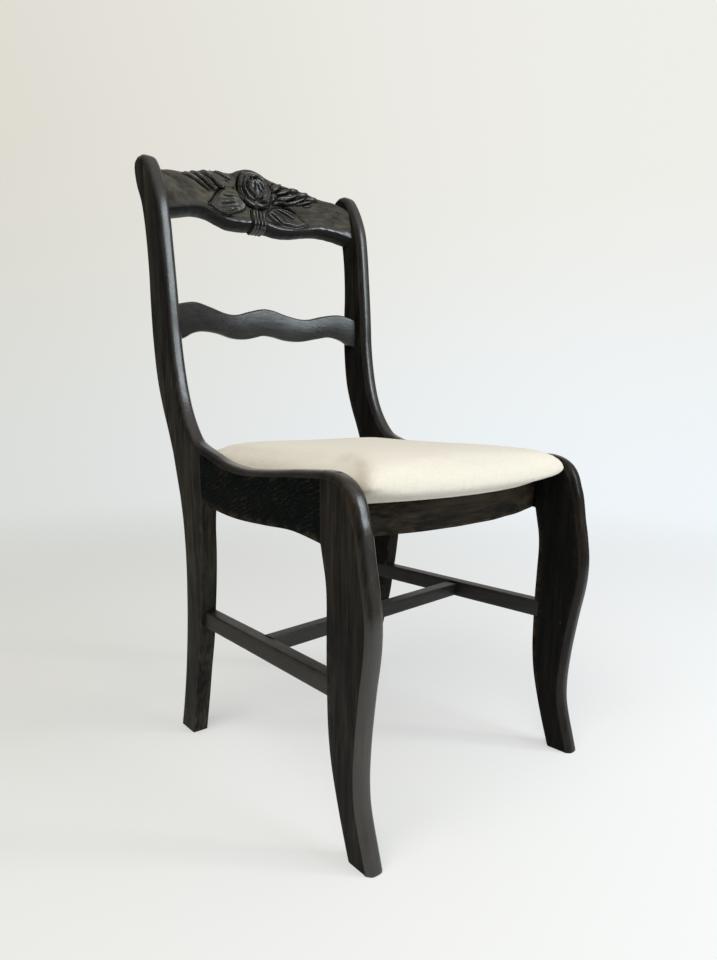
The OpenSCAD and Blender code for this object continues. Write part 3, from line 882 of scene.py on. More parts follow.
@dataclass
class SideFrame:
    """One side of the chair: back post, side rail and front leg.

    The tables hold depths from the nearest joint, and heights as shares of
    the part above or below the rails, or in millimetres from a rail's edge.
    """

    side: Side
    sizes: ChairSizes = SIZES
    post_front: tuple[Point2, ...] = (
        (137, 1.002), (124, 0.988), (109, 0.942), (97, 0.882), (91, 0.812), (87, 0.732),
        (83, 0.645), (80, 0.565), (78, 0.505), (73, 0.43), (65, 0.355), (54, 0.292),
        (39, 0.24), (21, 0.2))
    post_rear: tuple[Point2, ...] = (
        (146, 1.001), (155, 0.984), (156, 0.957), (151, 0.92), (139, 0.868), (132, 0.79),
        (129, 0.69), (130, 0.59), (129, 0.49), (123, 0.38), (111, 0.295), (96, 0.22),
        (84, 0.155))
    post_rear_low: tuple[Point2, ...] = (
        (68, 1.03), (62, 0.92), (60, 0.78), (63, 0.63), (69, 0.48), (80, 0.3), (94, 0.135),
        (108, 0.0))
    post_front_low: tuple[Point2, ...] = (
        (0, 1.025), (5, 0.93), (6, 0.83), (10, 0.71), (17, 0.58), (25, 0.45), (38, 0.31),
        (50, 0.17), (66, 0.0))
    rail_crown: tuple[Point2, ...] = (
        (0, 8), (0.1, 1), (0.23, -8), (0.4, -12), (0.6, -9), (0.8, -4), (1, 0))
    rail_sole: tuple[Point2, ...] = (
        (0, 9), (0.1, 5), (0.25, 1), (0.4, 0), (0.6, 2), (0.8, 4.5), (1, -1))
    knee: tuple[Point2, ...] = ((0, 0), (18, -1), (34, -6), (47, -15), (56, -28), (62, -44))
    leg_front: tuple[Point2, ...] = (
        (67, 1.05), (73, 0.97), (79, 0.9), (84, 0.82), (85, 0.75), (83, 0.68), (78, 0.59),
        (74, 0.5), (71, 0.42), (69, 0.31), (71, 0.22), (77, 0.15), (85, 0.08), (94, 0.0))
    leg_rear: tuple[Point2, ...] = (
        (0, -1), (5, -22), (9, -40), (11, -62), (11, -95), (11, -132))
    leg_rear_low: tuple[Point2, ...] = (
        (12, 0.53), (14, 0.42), (19, 0.32), (28, 0.22), (39, 0.12), (54, 0.0))

    def upper(self, table: Sequence[Point2]) -> list[Point2]:
        """Place a post table above the rails: the right post is a little taller.

        Args:
            table: Rows of (depth, share of the height).

        Returns:
            Rows of (depth, height) in millimetres.
        """
        s = self.sizes
        rise = s.post_rise if self.side is Side.RIGHT else 0.0
        return [
            (s.rear_joint + d, s.rail_under + h * s.post_span + rise * h * h)
            for d, h in table]

    def lower(self, table: Sequence[Point2]) -> list[Point2]:
        """Place a post table below the rails."""
        return [(self.sizes.rear_joint + d, h * self.sizes.rail_under) for d, h in table]

    def ahead(
        self, high: Sequence[Point2], level: float, low: Sequence[Point2],
    ) -> list[Point2]:
        """Place two leg tables before the front joint.

        Args:
            high: Upper table, in millimetres from a level.
            level: Height of that level.
            low: Lower table, in shares of the leg's height.

        Returns:
            The points of both, from the top.
        """
        s = self.sizes
        heights = [(d, level + h) for d, h in high] + [(d, h * s.rail_under) for d, h in low]
        return [(s.front_joint - d, h) for d, h in heights]

    def face_at(self, height: float) -> float:
        """Find the depth of the posts' front at a height.

        Args:
            height: Height above the floor.

        Returns:
            The depth.
        """
        s = self.sizes
        z, y = zip(*sorted(
            (s.rail_under + h * s.post_span, s.rear_joint + d) for d, h in self.post_front))
        return np.interp(height, z, y)

    def label(self, piece: str) -> str:
        """Return a piece's node name on this side."""
        return f"{piece}_{self.side.name.lower()}"

    def back_post(self, name: str) -> Piece:
        """Build the back post, from its top to its foot.

        Args:
            name: Name of the piece.

        Returns:
            The new piece.
        """
        s, (top_n, low_n) = self.sizes, (150, 92)
        tables = (
            (self.upper(self.post_front) + [(s.rear_joint, s.shoulder)], self.post_front_low),
            (self.upper(self.post_rear), self.post_rear_low))
        edge, back = (
            np.concatenate([smooth_curve(high, top_n), smooth_curve(self.lower(low), low_n)])
            for high, low in tables)
        board = SawnBoard(name, edge, back, {top_n: (0.0, -1.0)}, (s.rear_joint,), True)
        board.soften_foot()
        return board.build(self.side, 1.0 * (np.arange(len(board.edge)) <= top_n))

    def side_rail(self, name: str) -> Piece:
        """Build the side rail between its two joints.

        Args:
            name: Name of the piece.

        Returns:
            The new piece.
        """
        s = self.sizes
        edge, back = (
            smooth_curve([(s.rear_joint - f * s.rail_len, level + h) for f, h in table], 110)
            for table, level in (
                (self.rail_crown, s.rail_top), (self.rail_sole, s.rail_under)))
        turns = {0: (0.0, -1.0), -1: (0.0, -1.0)}
        board = SawnBoard(name, edge, back, turns, (s.rear_joint, s.front_joint))
        return board.build(self.side, np.ones(len(edge)))

    def front_leg(self, name: str) -> Piece:
        """Build the front leg, from the knee to the foot.

        Args:
            name: Name of the piece.

        Returns:
            The new piece.
        """
        s = self.sizes
        board = SawnBoard(
            name, smooth_curve(self.ahead(self.knee, s.rail_top, self.leg_front), 190),
            smooth_curve(self.ahead(self.leg_rear, s.rail_under, self.leg_rear_low), 190),
            {0: (0.0, -1.0), -1: (1.0, 0.0)}, (s.front_joint,))
        board.soften_foot()
        return board.build(self.side, np.ones(len(board.edge)))

    def build(self) -> None:
        """Build and dress the three boards."""
        for make, node, grain, gloss, look in (
            (self.back_post, "back_post", Grain.ALONG_Z, 0.08,
             {"warmth": 1.0, "warm": (0.062, 0.056, 0.043)}),
            (self.side_rail, "side_rail", Grain.ALONG_Y, 0.04,
             {"warmth": 0.1, "figure": 0.6, "dark": (0.0012, 0.003, 0.003)}),
            (self.front_leg, "front_leg", Grain.ALONG_Z, 0.06,
             {"warmth": 0.9, "warm": (0.040, 0.034, 0.028)}),
        ):
            name, post = self.label(f"ebonised {node}"), node == "back_post"
            # Painted shade: the right frame, which stands in the chair's own shade, gets faces
            # with a third of the warmth, and less gloss on faces and bands.
            if self.side is Side.RIGHT:
                gloss, look = 0.04, look | {"warmth": 0.3 * look["warmth"]}
            face = EbonisedFinish(f"{name} face", grain, dull=0.5, gloss=gloss, **look)
            band = EbonisedFinish(
                f"{name} band", grain, warm=(0.040, 0.030, 0.020), warmth=0.7,
                smooth=0.3 if post else 0.24,
                gloss=1.0 if post else 0.52 - 0.3 * self.side.value)
            dress(
                make(self.label(f"dressed_{node}")), (face.material(), band.material()),
                "ebonised_wood", self.label(node))


@dataclass
class FrontRail:
    """The bowed front seat rail."""

    height: float = 38.0
    thick: float = 22.0
    setback: float = 3.0
    arris: float = 1.6
    tuck_in: float = 1.0
    steps: int = 150
    sizes: ChairSizes = SIZES

    def build(self) -> None:
        """Build and dress the rail."""
        s, r, w, h = self.sizes, self.arris, self.thick, self.height
        corner = [(0.0, r), (r * 0.3, r * 0.3), (r, 0.0)]
        section = corner + [(w * 0.25, 0.0), (w * 0.75, 0.0)]
        section += [(w - x, z) for x, z in corner[::-1]]
        section += [(w, h * 0.3), (w, h * 0.7)]
        section += [(w - x, h - z) for x, z in corner]
        section += [(w * 0.75, h), (w * 0.25, h)]
        section += [(x, h - z) for x, z in corner[::-1]]
        section += [(0.0, h * v) for v in (0.85, 0.65, 0.5, 0.35, 0.15)]
        corners = {0: 0.7, 1: 1.0, 2: 0.7, 5: 0.4, 6: 0.5, 7: 0.4, 14: 0.3, 15: 0.4, 16: 0.3}
        depth, z = np.array(section).T
        u = np.linspace(-1, 1, self.steps + 1)[:, None]
        y = s.front_joint + self.setback + depth - s.front_bow * (1 - u * u)
        x = u * (s.inner_half(y) + self.tuck_in)
        z = s.rail_under + np.broadcast_to(z, x.shape)
        z = z + 0.35 * hand_noise(x, z, 60.0, 5) * (z < s.rail_under + 6)
        wear = np.zeros(x.shape)
        wear[:, list(corners)] = list(corners.values())
        piece = tube_piece("dressed_front_rail", np.stack([x, y, z], -1), arris=wear)
        finish = EbonisedFinish(
            "ebonised front rail", Grain.ALONG_X, warm=(0.055, 0.041, 0.024),
            warmth=0.9, rub=0.9, dull=0.6, gloss=0.08)
        dress(piece, [finish.material()], "ebonised_wood", "front_rail")


class Relief:
    """A carved height over a flat face, cut stroke by stroke."""

    def __init__(self, x: Array, z: Array) -> None:
        """Start from a smooth ground, by its points' places and heights."""
        self.x, self.z = x, z
        self.height = np.zeros_like(x)

    def near(
        self, path: Sequence[Point2], reach: float, line: Array | None = None,
    ) -> tuple[Array, ...]:
        """Measure the points that a stroke can reach.

        Args:
            path: Path of the stroke.
            reach: Distance that it can reach.
            line: A finer path to measure from.

        Returns:
            A mask of the points, and what path_distance says of them.
        """
        p = np.asarray(path, float)
        low, high = p.min(0) - reach, p.max(0) + reach
        m = (self.x > low[0]) & (self.x < high[0]) & (self.z > low[1]) & (self.z < high[1])
        return m, *path_distance(self.x[m], self.z[m], path if line is None else line)

    def groove(self, path: Sequence[Point2], width: float, depth: float) -> None:
        """Cut a tapering V groove along a path.

        Args:
            path: Path of the groove.
            width: Half its width.
            depth: Its depth.
        """
        m, away, share, _ = self.near(path, 4 * width)
        taper = np.sin(np.pi * np.clip(0.06 + 0.88 * share, 0, 1)) ** 0.5
        cut = np.clip(1 - away / np.maximum(width * (0.4 + 0.6 * taper), 1e-3), 0, 1)
        self.height[m] -= depth * taper * cut**0.8

    def lobe(self, path: Sequence[Point2], width: float, rise: float) -> None:
        """Raise a leaf-shaped lobe along a path, widest near its middle.

        Args:
            path: Path of the lobe's middle.
            width: Half its width.
            rise: Its height.
        """
        m, away, share, _ = self.near(path, 2 * width)
        half = width * np.sin(np.pi * np.clip(0.1 + 0.84 * share, 0, 1)) ** 0.7
        body = np.clip(1 - (away / np.maximum(half, 1e-3)) ** 2, 0, 1) ** 0.6
        moat = np.exp(-(((away - half) / 1.2) ** 2)) * (away > half)
        self.height[m] += rise * body - 0.7 * moat

    def petal(
        self, rim: Sequence[Point2], cup: float, rise: float, drop: float, left: bool,
    ) -> None:
        """Raise a petal towards its rim, with a sharp drop outside it.

        Args:
            rim: Path along the petal's outer rim.
            cup: Width over which the petal rises to the rim.
            rise: Height of the rim above the petal's bed.
            drop: Depth of the cut outside the rim.
            left: Whether the petal lies to the left of the path.
        """
        m, away, share, side = self.near(rim, max(3 * cup, 8))
        taper = np.sin(np.pi * np.clip(0.08 + 0.84 * share, 0, 1)) ** 0.4
        lip = np.where(away < 0.8, 1 - 0.25 * (1 - away / 0.8) ** 2, 1.0)
        inner = rise * np.clip(1 - away / cup, 0, 1) ** 1.3 * lip
        outer = rise * 0.75 * np.clip(1 - away / 0.9, 0, 1)
        outer = outer - drop * np.exp(-(((away - 1.8) / 1.5) ** 2))
        ends = (share > 0.001) & (share < 0.999)
        self.height[m] += np.where((side > 0) == left, inner, outer) * taper * ends

    def plate(
        self, outline: Sequence[Point2], rise: float, soft: float, sink: float, wide: float,
    ) -> None:
        """Raise a closed shape and sink the ground round it.

        Args:
            outline: Points round the shape.
            rise: Height of the shape.
            soft: Width of its sloping edge.
            sink: Depth of the ground just outside.
            wide: Distance over which the ground returns.
        """
        line = smooth_curve([*outline, outline[0]], 6 * len(outline))
        m, away, _, _ = self.near(outline, 4 * wide, line[::2])
        inside = inside_outline(self.x[m], self.z[m], line[:-1])
        up, down = rise * ease(away / soft), -sink * np.exp(-away / wide)
        self.height[m] += np.where(inside, up - sink, down)

    def run(self, strokes: Strokes) -> None:
        """Cut tables of strokes.

        Args:
            strokes: Rows of a flat path and the tool's numbers, by tool.
        """
        for tool, rows in strokes.items():
            for path, *numbers in rows:
                tool(self, np.reshape(path, (-1, 2)), *numbers)


# Carving strokes in millimetres from the rail's middle and datum: for each
# tool, rows of a flat path and the tool's numbers.
LEAF_STROKES: Strokes = {
    Relief.plate: (
        ((-57, 57, -65, 50, -73, 42, -80, 34, -89, 27, -85, 23.5, -77, 20, -67, 17.5, -57, 18,
         -47, 20.5, -36, 24, -24, 29, -18, 38, -24, 52, -38, 60), 2.4, 2.6, 1.6, 7.0),
        ((-131, 62, -119, 59, -107, 55, -95, 50, -84, 46.5, -72, 48, -58, 54, -36, 60, -30, 74,
         -40, 84, -60, 84, -85, 78, -110, 72, -126, 67), 1.6, 2.4, 1.3, 8.0),
        ((24, 38, 33, 43.5, 45, 47, 57, 47, 68, 45, 78, 40, 86, 33, 98, 27.5, 88, 24, 75, 20.5,
         60, 20.5, 47, 20.5, 36, 22, 27, 27, 21, 33), 2.0, 3.2, 2.0, 7.5),
        ((28, 50, 40, 54, 56, 52, 74, 53, 90, 57, 108, 63, 121, 71, 104, 80, 80, 84, 50, 88, 26,
         84, 27, 68), 1.0, 3.0, 0.8, 7.0),),
    Relief.petal: (
        ((-57, 57, -66, 49, -74, 41, -81, 33, -89, 27), 9, 0.8, 0.8, True),
        ((-89, 26.5, -85, 23.5, -77, 20, -67, 17.5, -57, 18, -46, 21), 8, 1.0, 1.3, True),
        ((-131, 64, -120, 60.5, -110, 56.5, -100, 52.5, -91, 49, -82, 46.5), 7, 1.2, 0.9, True),
        ((-116, 69, -106, 64.5, -98, 60.5, -90, 56, -83, 52.5, -75, 50.5), 8, 2.0, 2.2, True),
        ((-99, 75, -89, 70.5, -81, 66.5, -75, 62, -68, 58, -61, 56, -54, 57), 9, 2.2, 2.2,
         True),
        ((-76, 82, -63, 78, -52, 74, -42, 71), 7, 1.4, 1.3, True),
        ((97, 28, 87, 24, 75, 20.5, 60, 20.5, 47, 20.5), 7, 0.8, 1.2, False),),
    Relief.lobe: (
        ((31, 68, 41, 74, 52, 81), 5.2, 2.6),
        ((43, 66, 56, 71, 70, 77), 3.6, 1.9),
        ((42, 58, 58, 62, 79, 70), 4.8, 2.5),
        ((56, 53, 72, 58, 93, 67), 3.6, 2.0),
        ((36, 50, 47, 55, 58, 56), 4.0, 1.9),
        ((79, 56, 92, 60, 107, 65), 2.6, 1.1),
        ((92, 55, 99, 57, 105, 58), 2.0, 0.6),
        ((64, 76, 76, 79, 88, 82), 3.6, 1.5),
        ((83, 71, 94, 75, 104, 79), 3.6, 1.5),
        ((98, 67, 109, 70, 120, 74), 3.2, 1.2),),
    Relief.groove: (
        ((-60, 45, -51, 45, -41, 47), 1.5, 1.3),
        ((-66, 31.5, -53, 34.5, -39, 39), 1.6, 1.5),
        ((-64, 28.5, -48, 30.5, -30, 35), 1.1, 0.8),
        ((-62, 21.5, -50, 24, -36, 30), 1.3, 1.0),
        ((-57, 51, -47, 51, -36, 52), 1.0, 0.7),
        ((-72, 35.5, -58, 39, -40, 43), 0.9, 0.6),
        ((-76, 25, -62, 26, -46, 28), 1.0, 0.7),
        ((-54, 67, -49, 66.5, -44, 65), 1.3, 1.2),
        ((-108, 48, -100, 43, -92, 39.5), 1.4, 0.6),
        ((-101, 47.5, -94, 44, -87, 42), 1.2, 0.5),
        ((28, 35, 35, 31, 42, 26, 49, 22), 2.0, 2.0),
        ((40, 41.5, 50, 39, 60, 35.5, 69, 31.5), 1.9, 1.9),
        ((33, 39.5, 44, 35, 55, 29), 1.4, 1.0),
        ((37, 36, 47, 31, 56, 25), 1.2, 0.8),
        ((50, 43, 62, 40.5, 74, 36), 1.2, 0.9),
        ((56, 33, 66, 29, 78, 26), 1.1, 0.6),
        ((43, 50.5, 54, 49.5, 65, 47, 76, 42), 3.4, 2.6),
        ((56, 66, 66, 67, 76, 70.5), 1.4, 1.3),
        ((58, 57, 70, 60.5, 86, 66), 1.3, 1.2),),
}
ROSE_STROKES: Strokes = {
    Relief.petal: (
        ((-15, 91, -23, 81, -27, 69, -28, 57, -26, 50, -20, 44.5, -12, 40.5, -3, 39), 7, 1.9,
         1.0, True),
        ((-1, 41, 8, 40, 16, 40.5, 24, 43, 29, 50, 31, 59, 30, 70, 27, 80, 20, 87), 7, 1.6, 1.0,
         True),
        ((-14, 80, -20, 71, -22, 62, -18, 54, -12, 49, -3, 47), 9, 2.4, 1.6, True),
        ((-1, 49, 8, 48.5, 17, 50, 23, 54, 27, 61, 27, 70), 6, 2.3, 1.6, True),
        ((2, 49, 8, 56, 14, 62.5, 21, 70, 26, 79), 4, 1.5, 1.0, True),
        ((-9, 80, -14, 72, -12.5, 64, -8, 58.5, -2, 54), 7, 2.3, 1.8, True),
        ((-5, 54.5, 0, 50.5, 6, 52.5, 11, 58.5), 6, 2.0, 1.3, True),
        ((-13, 77, -7, 81, 1, 82, 9, 84, 17, 82), 7, 1.8, 1.6, True),
        ((-4, 77, 4, 79.5, 12, 78, 17, 71, 16, 64), 5, 1.2, 0.9, False),),
    Relief.groove: (
        ((0, 75, -0.5, 67, -4, 58), 1.6, 2.2),
        ((4.5, 73, 7, 66, 11, 61), 1.5, 2.0),
        ((9.5, 75, 13, 69, 15, 63), 1.2, 1.2),
        ((-20, 86, -17, 78, -16, 68), 1.4, 1.0),),
}


@dataclass(frozen=True)
class CrestCarving:
    """The rose, its leaves and the reeded tie on the crest rail."""

    reed_pitch: float = 6.2
    reeds: int = 4
    tie_middle: float = 2.2
    bold: float = 1.9
    flower: Point2 = (1.5, 64.0)
    flower_radii: Point2 = (28.5, 27.0)
    dome: float = 3.4
    ribs: int = 7
    rib_pitch: float = 5.2

    def carve(self, cut: Relief) -> None:
        """Carve the whole ornament.

        Args:
            cut: The relief to work on.
        """
        cut.run(LEAF_STROKES)
        for k in range(self.ribs):
            x = -76 + self.rib_pitch * k
            cut.groove([(x, 73 - 0.5 * k), (x - 5, 66), (x - 7, 60 + 0.5 * k)], 0.9, 0.55)
        self.rose(cut)
        cut.height *= self.bold
        self.tie(cut)

    def rose(self, cut: Relief) -> None:
        """Carve the rose: a dome of cupped petals round a folded bud.

        Args:
            cut: The relief to work on.
        """
        (x, z), (rx, rz) = self.flower, self.flower_radii
        far = np.hypot((cut.x - x) / rx, (cut.z - z) / rz)
        cut.height = np.where(far < 1.12, cut.height * ease((far - 0.9) / 0.22), cut.height)
        cut.height += self.dome * np.sqrt(np.clip(1 - far**2, 0, 1))
        cut.height -= 1.2 * np.exp(-(((far - 1.06) / 0.06) ** 2)) * (cut.z < 84)
        cut.run(ROSE_STROKES)

    def tie(self, cut: Relief) -> None:
        """Carve the reeds that bind the stems below the rose.

        Args:
            cut: The relief to work on.
        """
        wide = self.reed_pitch * self.reeds / 2
        off = cut.x - self.tie_middle
        inside = np.abs(off) < wide
        fade = ease((37 - cut.z) / 5)
        reed = np.sqrt(np.clip(1 - (2 * ((off / self.reed_pitch) % 1) - 1) ** 2, 0, 1))
        moat = np.exp(-(((np.abs(off) - wide) / 2.2) ** 2)) * (np.abs(off) >= wide)
        body = np.where(inside, 3.8 * reed - 0.2, -2.0 * moat)
        keep = np.where(np.abs(off) < wide + 4, 1 - fade, 1.0)
        cut.height = cut.height * keep + body * fade


@dataclass
class CrestRail:
    """The bowed crest rail with its rolled underside and carving."""

    low: float = 772.0
    thick: float = 24.0
    lean: float = math.radians(11.0)
    inset: float = 11.0
    roll: float = 14.0
    face_drop: float = 14.0
    datum: float = 20.0
    recess: float = 2.0
    columns: int = 460
    mid_depth: float = 225.0
    uncarved: float = 1e3
    top: tuple[Point2, ...] = (
        (-1, 53), (-0.88, 59), (-0.7, 66), (-0.5, 76), (-0.35, 81), (-0.2, 84), (-0.1, 91),
        (0, 96), (0.1, 95), (0.2, 89), (0.35, 85), (0.5, 82), (0.62, 79), (0.75, 73),
        (0.88, 70), (1, 62))
    sole: tuple[Point2, ...] = (
        (-1, -10), (-0.9, -5), (-0.8, 0), (-0.7, 5), (-0.6, 7), (-0.5, 6), (-0.4, 2),
        (-0.3, -1), (-0.15, 0), (0, 3), (0.12, 3), (0.25, 1), (0.4, 3), (0.55, 8),
        (0.7, 11), (0.85, 9), (1, 3))
    carving: CrestCarving = CrestCarving()
    sizes: ChairSizes = SIZES

    def section(self, top: float, low: float) -> tuple[Array, Array]:
        """Lay out one section, from the back's foot round the front.

        Args:
            top: Height of the rail's top above its datum.
            low: Height of its underside.

        Returns:
            Rows of (depth, height), and the carving's height for each row.
        """
        t, r = self.thick, self.roll
        a = np.linspace(0, math.pi / 2, 27)[:-1]
        under = np.stack([(t - 2) * (1 - np.sin(a)), low + r * (1 - np.cos(a))], 1)
        ridge, face_top = low + r, top - self.face_drop
        share = np.linspace(0, 1, 92)
        face = np.stack([share * 0, ridge + (face_top - ridge) * share], 1)
        over = smooth_curve(
            [(0, face_top), (1.8, top - 6.2), (6.5, top - 1.4), (14, top),
             (t - 2.5, top - 1.6), (t, top - 5)], 26)[1:]
        back = np.stack([np.full(9, t), np.linspace(top - 5, low + 2, 11)[1:-1]], 1)
        heel = np.array([(t, low + 2), (t - 0.6, low + 0.6)])
        under_run = np.linalg.norm(np.diff(under, axis=0, append=face[:1]), axis=1)
        over_run = np.linalg.norm(np.diff(over, axis=0, prepend=face[-1:]), axis=1)
        high = np.concatenate([
            ridge - np.cumsum(under_run[::-1])[::-1], face[:, 1],
            face_top + np.cumsum(over_run), np.full(len(back) + len(heel), self.uncarved)])
        return np.concatenate([under, face, over, back, heel]), high

    def build(self) -> None:
        """Build, carve and dress the rail."""
        s = self.sizes
        us = np.linspace(-1, 1, self.columns + 1)
        tops, lows = smooth_heights(self.top, us), smooth_heights(self.sole, us)
        rows, high = map(np.array, zip(*map(self.section, tops, lows)))
        x = us[:, None] * s.inner_half(self.mid_depth) * np.ones_like(high)
        cut = Relief(x, high)
        self.carving.carve(cut)
        cut.height = blurred(cut.height, 1)
        us, tops = us[:, None], tops[:, None]
        ridge, edge = (lows + self.roll)[:, None], 1 - np.abs(us)
        ground = ease((high - ridge) / 7.0) * ease((tops + 8 - high) / 10.0)
        relief = cut.height - self.recess * ground * ease((edge - 0.03) / 0.22)
        relief += 0.22 * hand_noise(x, high, 17.0, 3)
        fade = ease((tops + 24 - high) / 8.0) * ease((high + 34) / 6.0)
        plain = high == self.uncarved
        relief = np.where(plain, 0.0, relief * ease(edge / 0.02) * fade)
        along = unit_rows(np.roll(rows, -1, 1) - np.roll(rows, 1, 1))
        out = np.stack([-along[..., 1], along[..., 0]], -1)
        shaped = rows + out * relief[..., None]
        face_y = SideFrame(Side.RIGHT).face_at(self.low + self.datum) + self.inset
        z = self.low + shaped[..., 1]
        y = (
            face_y + math.tan(self.lean) * (z - self.low - self.datum)
            + s.back_bow * (1 - us**2) + shaped[..., 0])
        rings = np.stack([us * (s.inner_half(y) + s.back_tuck), y, z], -1)
        blur = blurred(cut.height, 7)
        proud = np.clip((cut.height - blur) * 1.2, 0, 1)
        wear = np.maximum(proud, 0.5 * np.exp(-(((high - ridge) / 2.5) ** 2)))
        ridge_band = ease((4.5 - np.abs(high - ridge - 1.0)) / 2.0)
        middle, level = self.carving.flower
        flower = np.hypot((x - middle) / 29.0, (high - level) / 27.0) < 1.0
        raised = np.clip(cut.height - 0.2, 0, 1) * (0.4 + 0.25 * (x > 24)) + 0.35 * flower
        tie = (np.abs(x - self.carving.tie_middle) < 12.4) * (high < 36)
        shine = 0.15 + 0.9 * proud + ridge_band + raised + 0.5 * tie
        shine = np.where(plain, 0.0, np.clip(shine, 0, 1))
        # Painted shade: how far each point lies below its eased surroundings, where the finish
        # darkens it.
        hollow = np.clip((blur - cut.height) * 1.7, 0, 1)
        piece = tube_piece(
            "carved_crest_rail", rings, arris=wear, polish=shine, hollow=hollow)
        kinds = np.where(shine > 0.5, 1, np.where(high < ridge - 3, 2, 0))
        number_faces(piece, kinds[:-1])
        ground = EbonisedFinish(
            "ebonised crest ground", Grain.ALONG_X, dark=(0.020, 0.019, 0.016),
            warm=(0.128, 0.118, 0.093), warmth=1.0, rub=0.1, dull=0.6, smooth=0.4,
            gloss=0.15, paints_hollow_shade=True)
        polished = EbonisedFinish(
            "ebonised crest carving", Grain.ALONG_X, warm=(0.036, 0.031, 0.022),
            warmth=0.6, rub=0.15, dull=0.44, smooth=0.2, gloss=1.0, paints_hollow_shade=True)
        rolled = EbonisedFinish(
            "ebonised crest underside", Grain.ALONG_X, warm=(0.020, 0.019, 0.017),
            warmth=0.6, rub=0.1, dull=0.5, gloss=0.2)
        finishes = [finish.material() for finish in (ground, polished, rolled)]
        dress(piece, finishes, "ebonised_wood", "crest_rail")


@dataclass
class BackSlat:
    """The thin wavy slat, bowed backwards, with softened edges."""

    low: float = 619.0
    height: float = 41.0
    thick: float = 11.0
    inset: float = 20.0
    soft: float = 3.2
    hollow: float = 0.9
    columns: int = 260
    wave: tuple[Point2, ...] = (
        (-1, -12), (-0.9, -7), (-0.76, -3), (-0.6, -7), (-0.43, -13), (-0.3, -13),
        (-0.15, -6), (0, 0), (0.12, -1), (0.25, -6), (0.4, -10), (0.52, -9), (0.66, -3),
        (0.8, 1), (0.9, 0), (1, -5))
    sole: tuple[Point2, ...] = (
        (-1, -20), (-0.9, -14), (-0.8, -6), (-0.68, -2), (-0.52, -3), (-0.36, -8),
        (-0.22, -8), (-0.1, -4), (0, 0), (0.12, -1), (0.26, -5), (0.42, -5), (0.6, 1),
        (0.74, 5), (0.86, 1), (0.94, -6), (1, -9))
    sizes: ChairSizes = SIZES

    def build(self) -> None:
        """Build and dress the slat."""
        s, t, r = self.sizes, self.thick, self.soft
        face_y = SideFrame(Side.RIGHT).face_at(self.low + self.height / 2) + self.inset
        us = np.linspace(-1, 1, self.columns + 1)
        tops = self.low + self.height + smooth_heights(self.wave, us)
        lows = self.low + smooth_heights(self.sole, us)
        a = np.linspace(0, math.pi / 2, 6)
        co, si = r * np.cos(a), r * np.sin(a)
        bulge = -self.hollow * np.sin(np.linspace(0, math.pi, 16)[1:-1])
        d = np.concatenate([t - r + co, r - si, bulge, r - co, t - r + si, np.full(6, t)])
        rings = []
        for u, top, low in zip(us, tops, lows):
            face = np.linspace(low + r, top - r, 16)[1:-1]
            back = np.linspace(top - r, low + r, 8)[1:-1]
            z = np.concatenate(
                [low + r - si, low + r - co, face, top - r + si, top - r + co, back])
            y = face_y + s.back_bow * (1 - u * u) + d
            rings.append(np.stack([u * (s.inner_half(y) + s.back_tuck), y, z], 1))
        rings = np.array(rings)
        wear = np.zeros(rings.shape[:2])
        wear[:, 6:12] = wear[:, 26:32] = (0, 0.3, 0.7, 0.7, 0.3, 0)
        piece = tube_piece(
            "dressed_back_slat", rings, arris=wear, polish=np.ones(wear.shape))
        finish = EbonisedFinish("ebonised back slat", Grain.ALONG_X, gloss=0.8)
        dress(piece, [finish.material()], "ebonised_wood", "back_slat")


class GrowthBench(NodeBench):
    """The nodes of one Geometry Nodes tree."""

    def __init__(self, name: str, **inputs: str) -> None:
        """Start a tree with a geometry input.

        Args:
            name: Name of the tree.
            **inputs: Types of its inputs, by name.
        """
        super().__init__(bpy.data.node_groups.new(name, "GeometryNodeTree"))
        face = self.tree.interface
        face.new_socket("Geometry", in_out="INPUT", socket_type="NodeSocketGeometry")
        face.new_socket("Geometry", in_out="OUTPUT", socket_type="NodeSocketGeometry")
        for label, kind in inputs.items():
            face.new_socket(label, in_out="INPUT", socket_type=f"NodeSocket{kind}")
        self.inlet = self.add("NodeGroupInput").outputs

    def end(self, geometry: Socket) -> None:
        """End the tree in Realize Instances and Set Material.

        Args:
            geometry: What the tree has made.
        """
        real = self.out("GeometryNodeRealizeInstances", {0: geometry})
        painted = self.out(
            "GeometryNodeSetMaterial", {"Geometry": real, "Material": self.inlet["Finish"]})
        self.add("NodeGroupOutput", {0: painted})

    def grow(self, piece: Piece, **values: object) -> None:
        """Run the tree on a piece and keep the result as its plain mesh.

        Args:
            piece: The object to make.
            **values: Values of the named inputs.
        """
        modifier = piece.modifiers.new("maker", "NODES")
        modifier.node_group = self.tree
        for item in self.tree.interface.items_tree:
            if item.item_type == "SOCKET" and item.in_out == "INPUT" and item.name in values:
                modifier[item.identifier] = values[item.name]
        keep_result(piece)
        outward(piece.data)


@dataclass
class SquareBar:
    """A straight bar with softened arrises."""

    node: str
    start: Point3
    end: Point3
    width: float
    height: float
    grain: Grain
    seed: int
    arris: float = 1.5
    uneven: float = 0.5


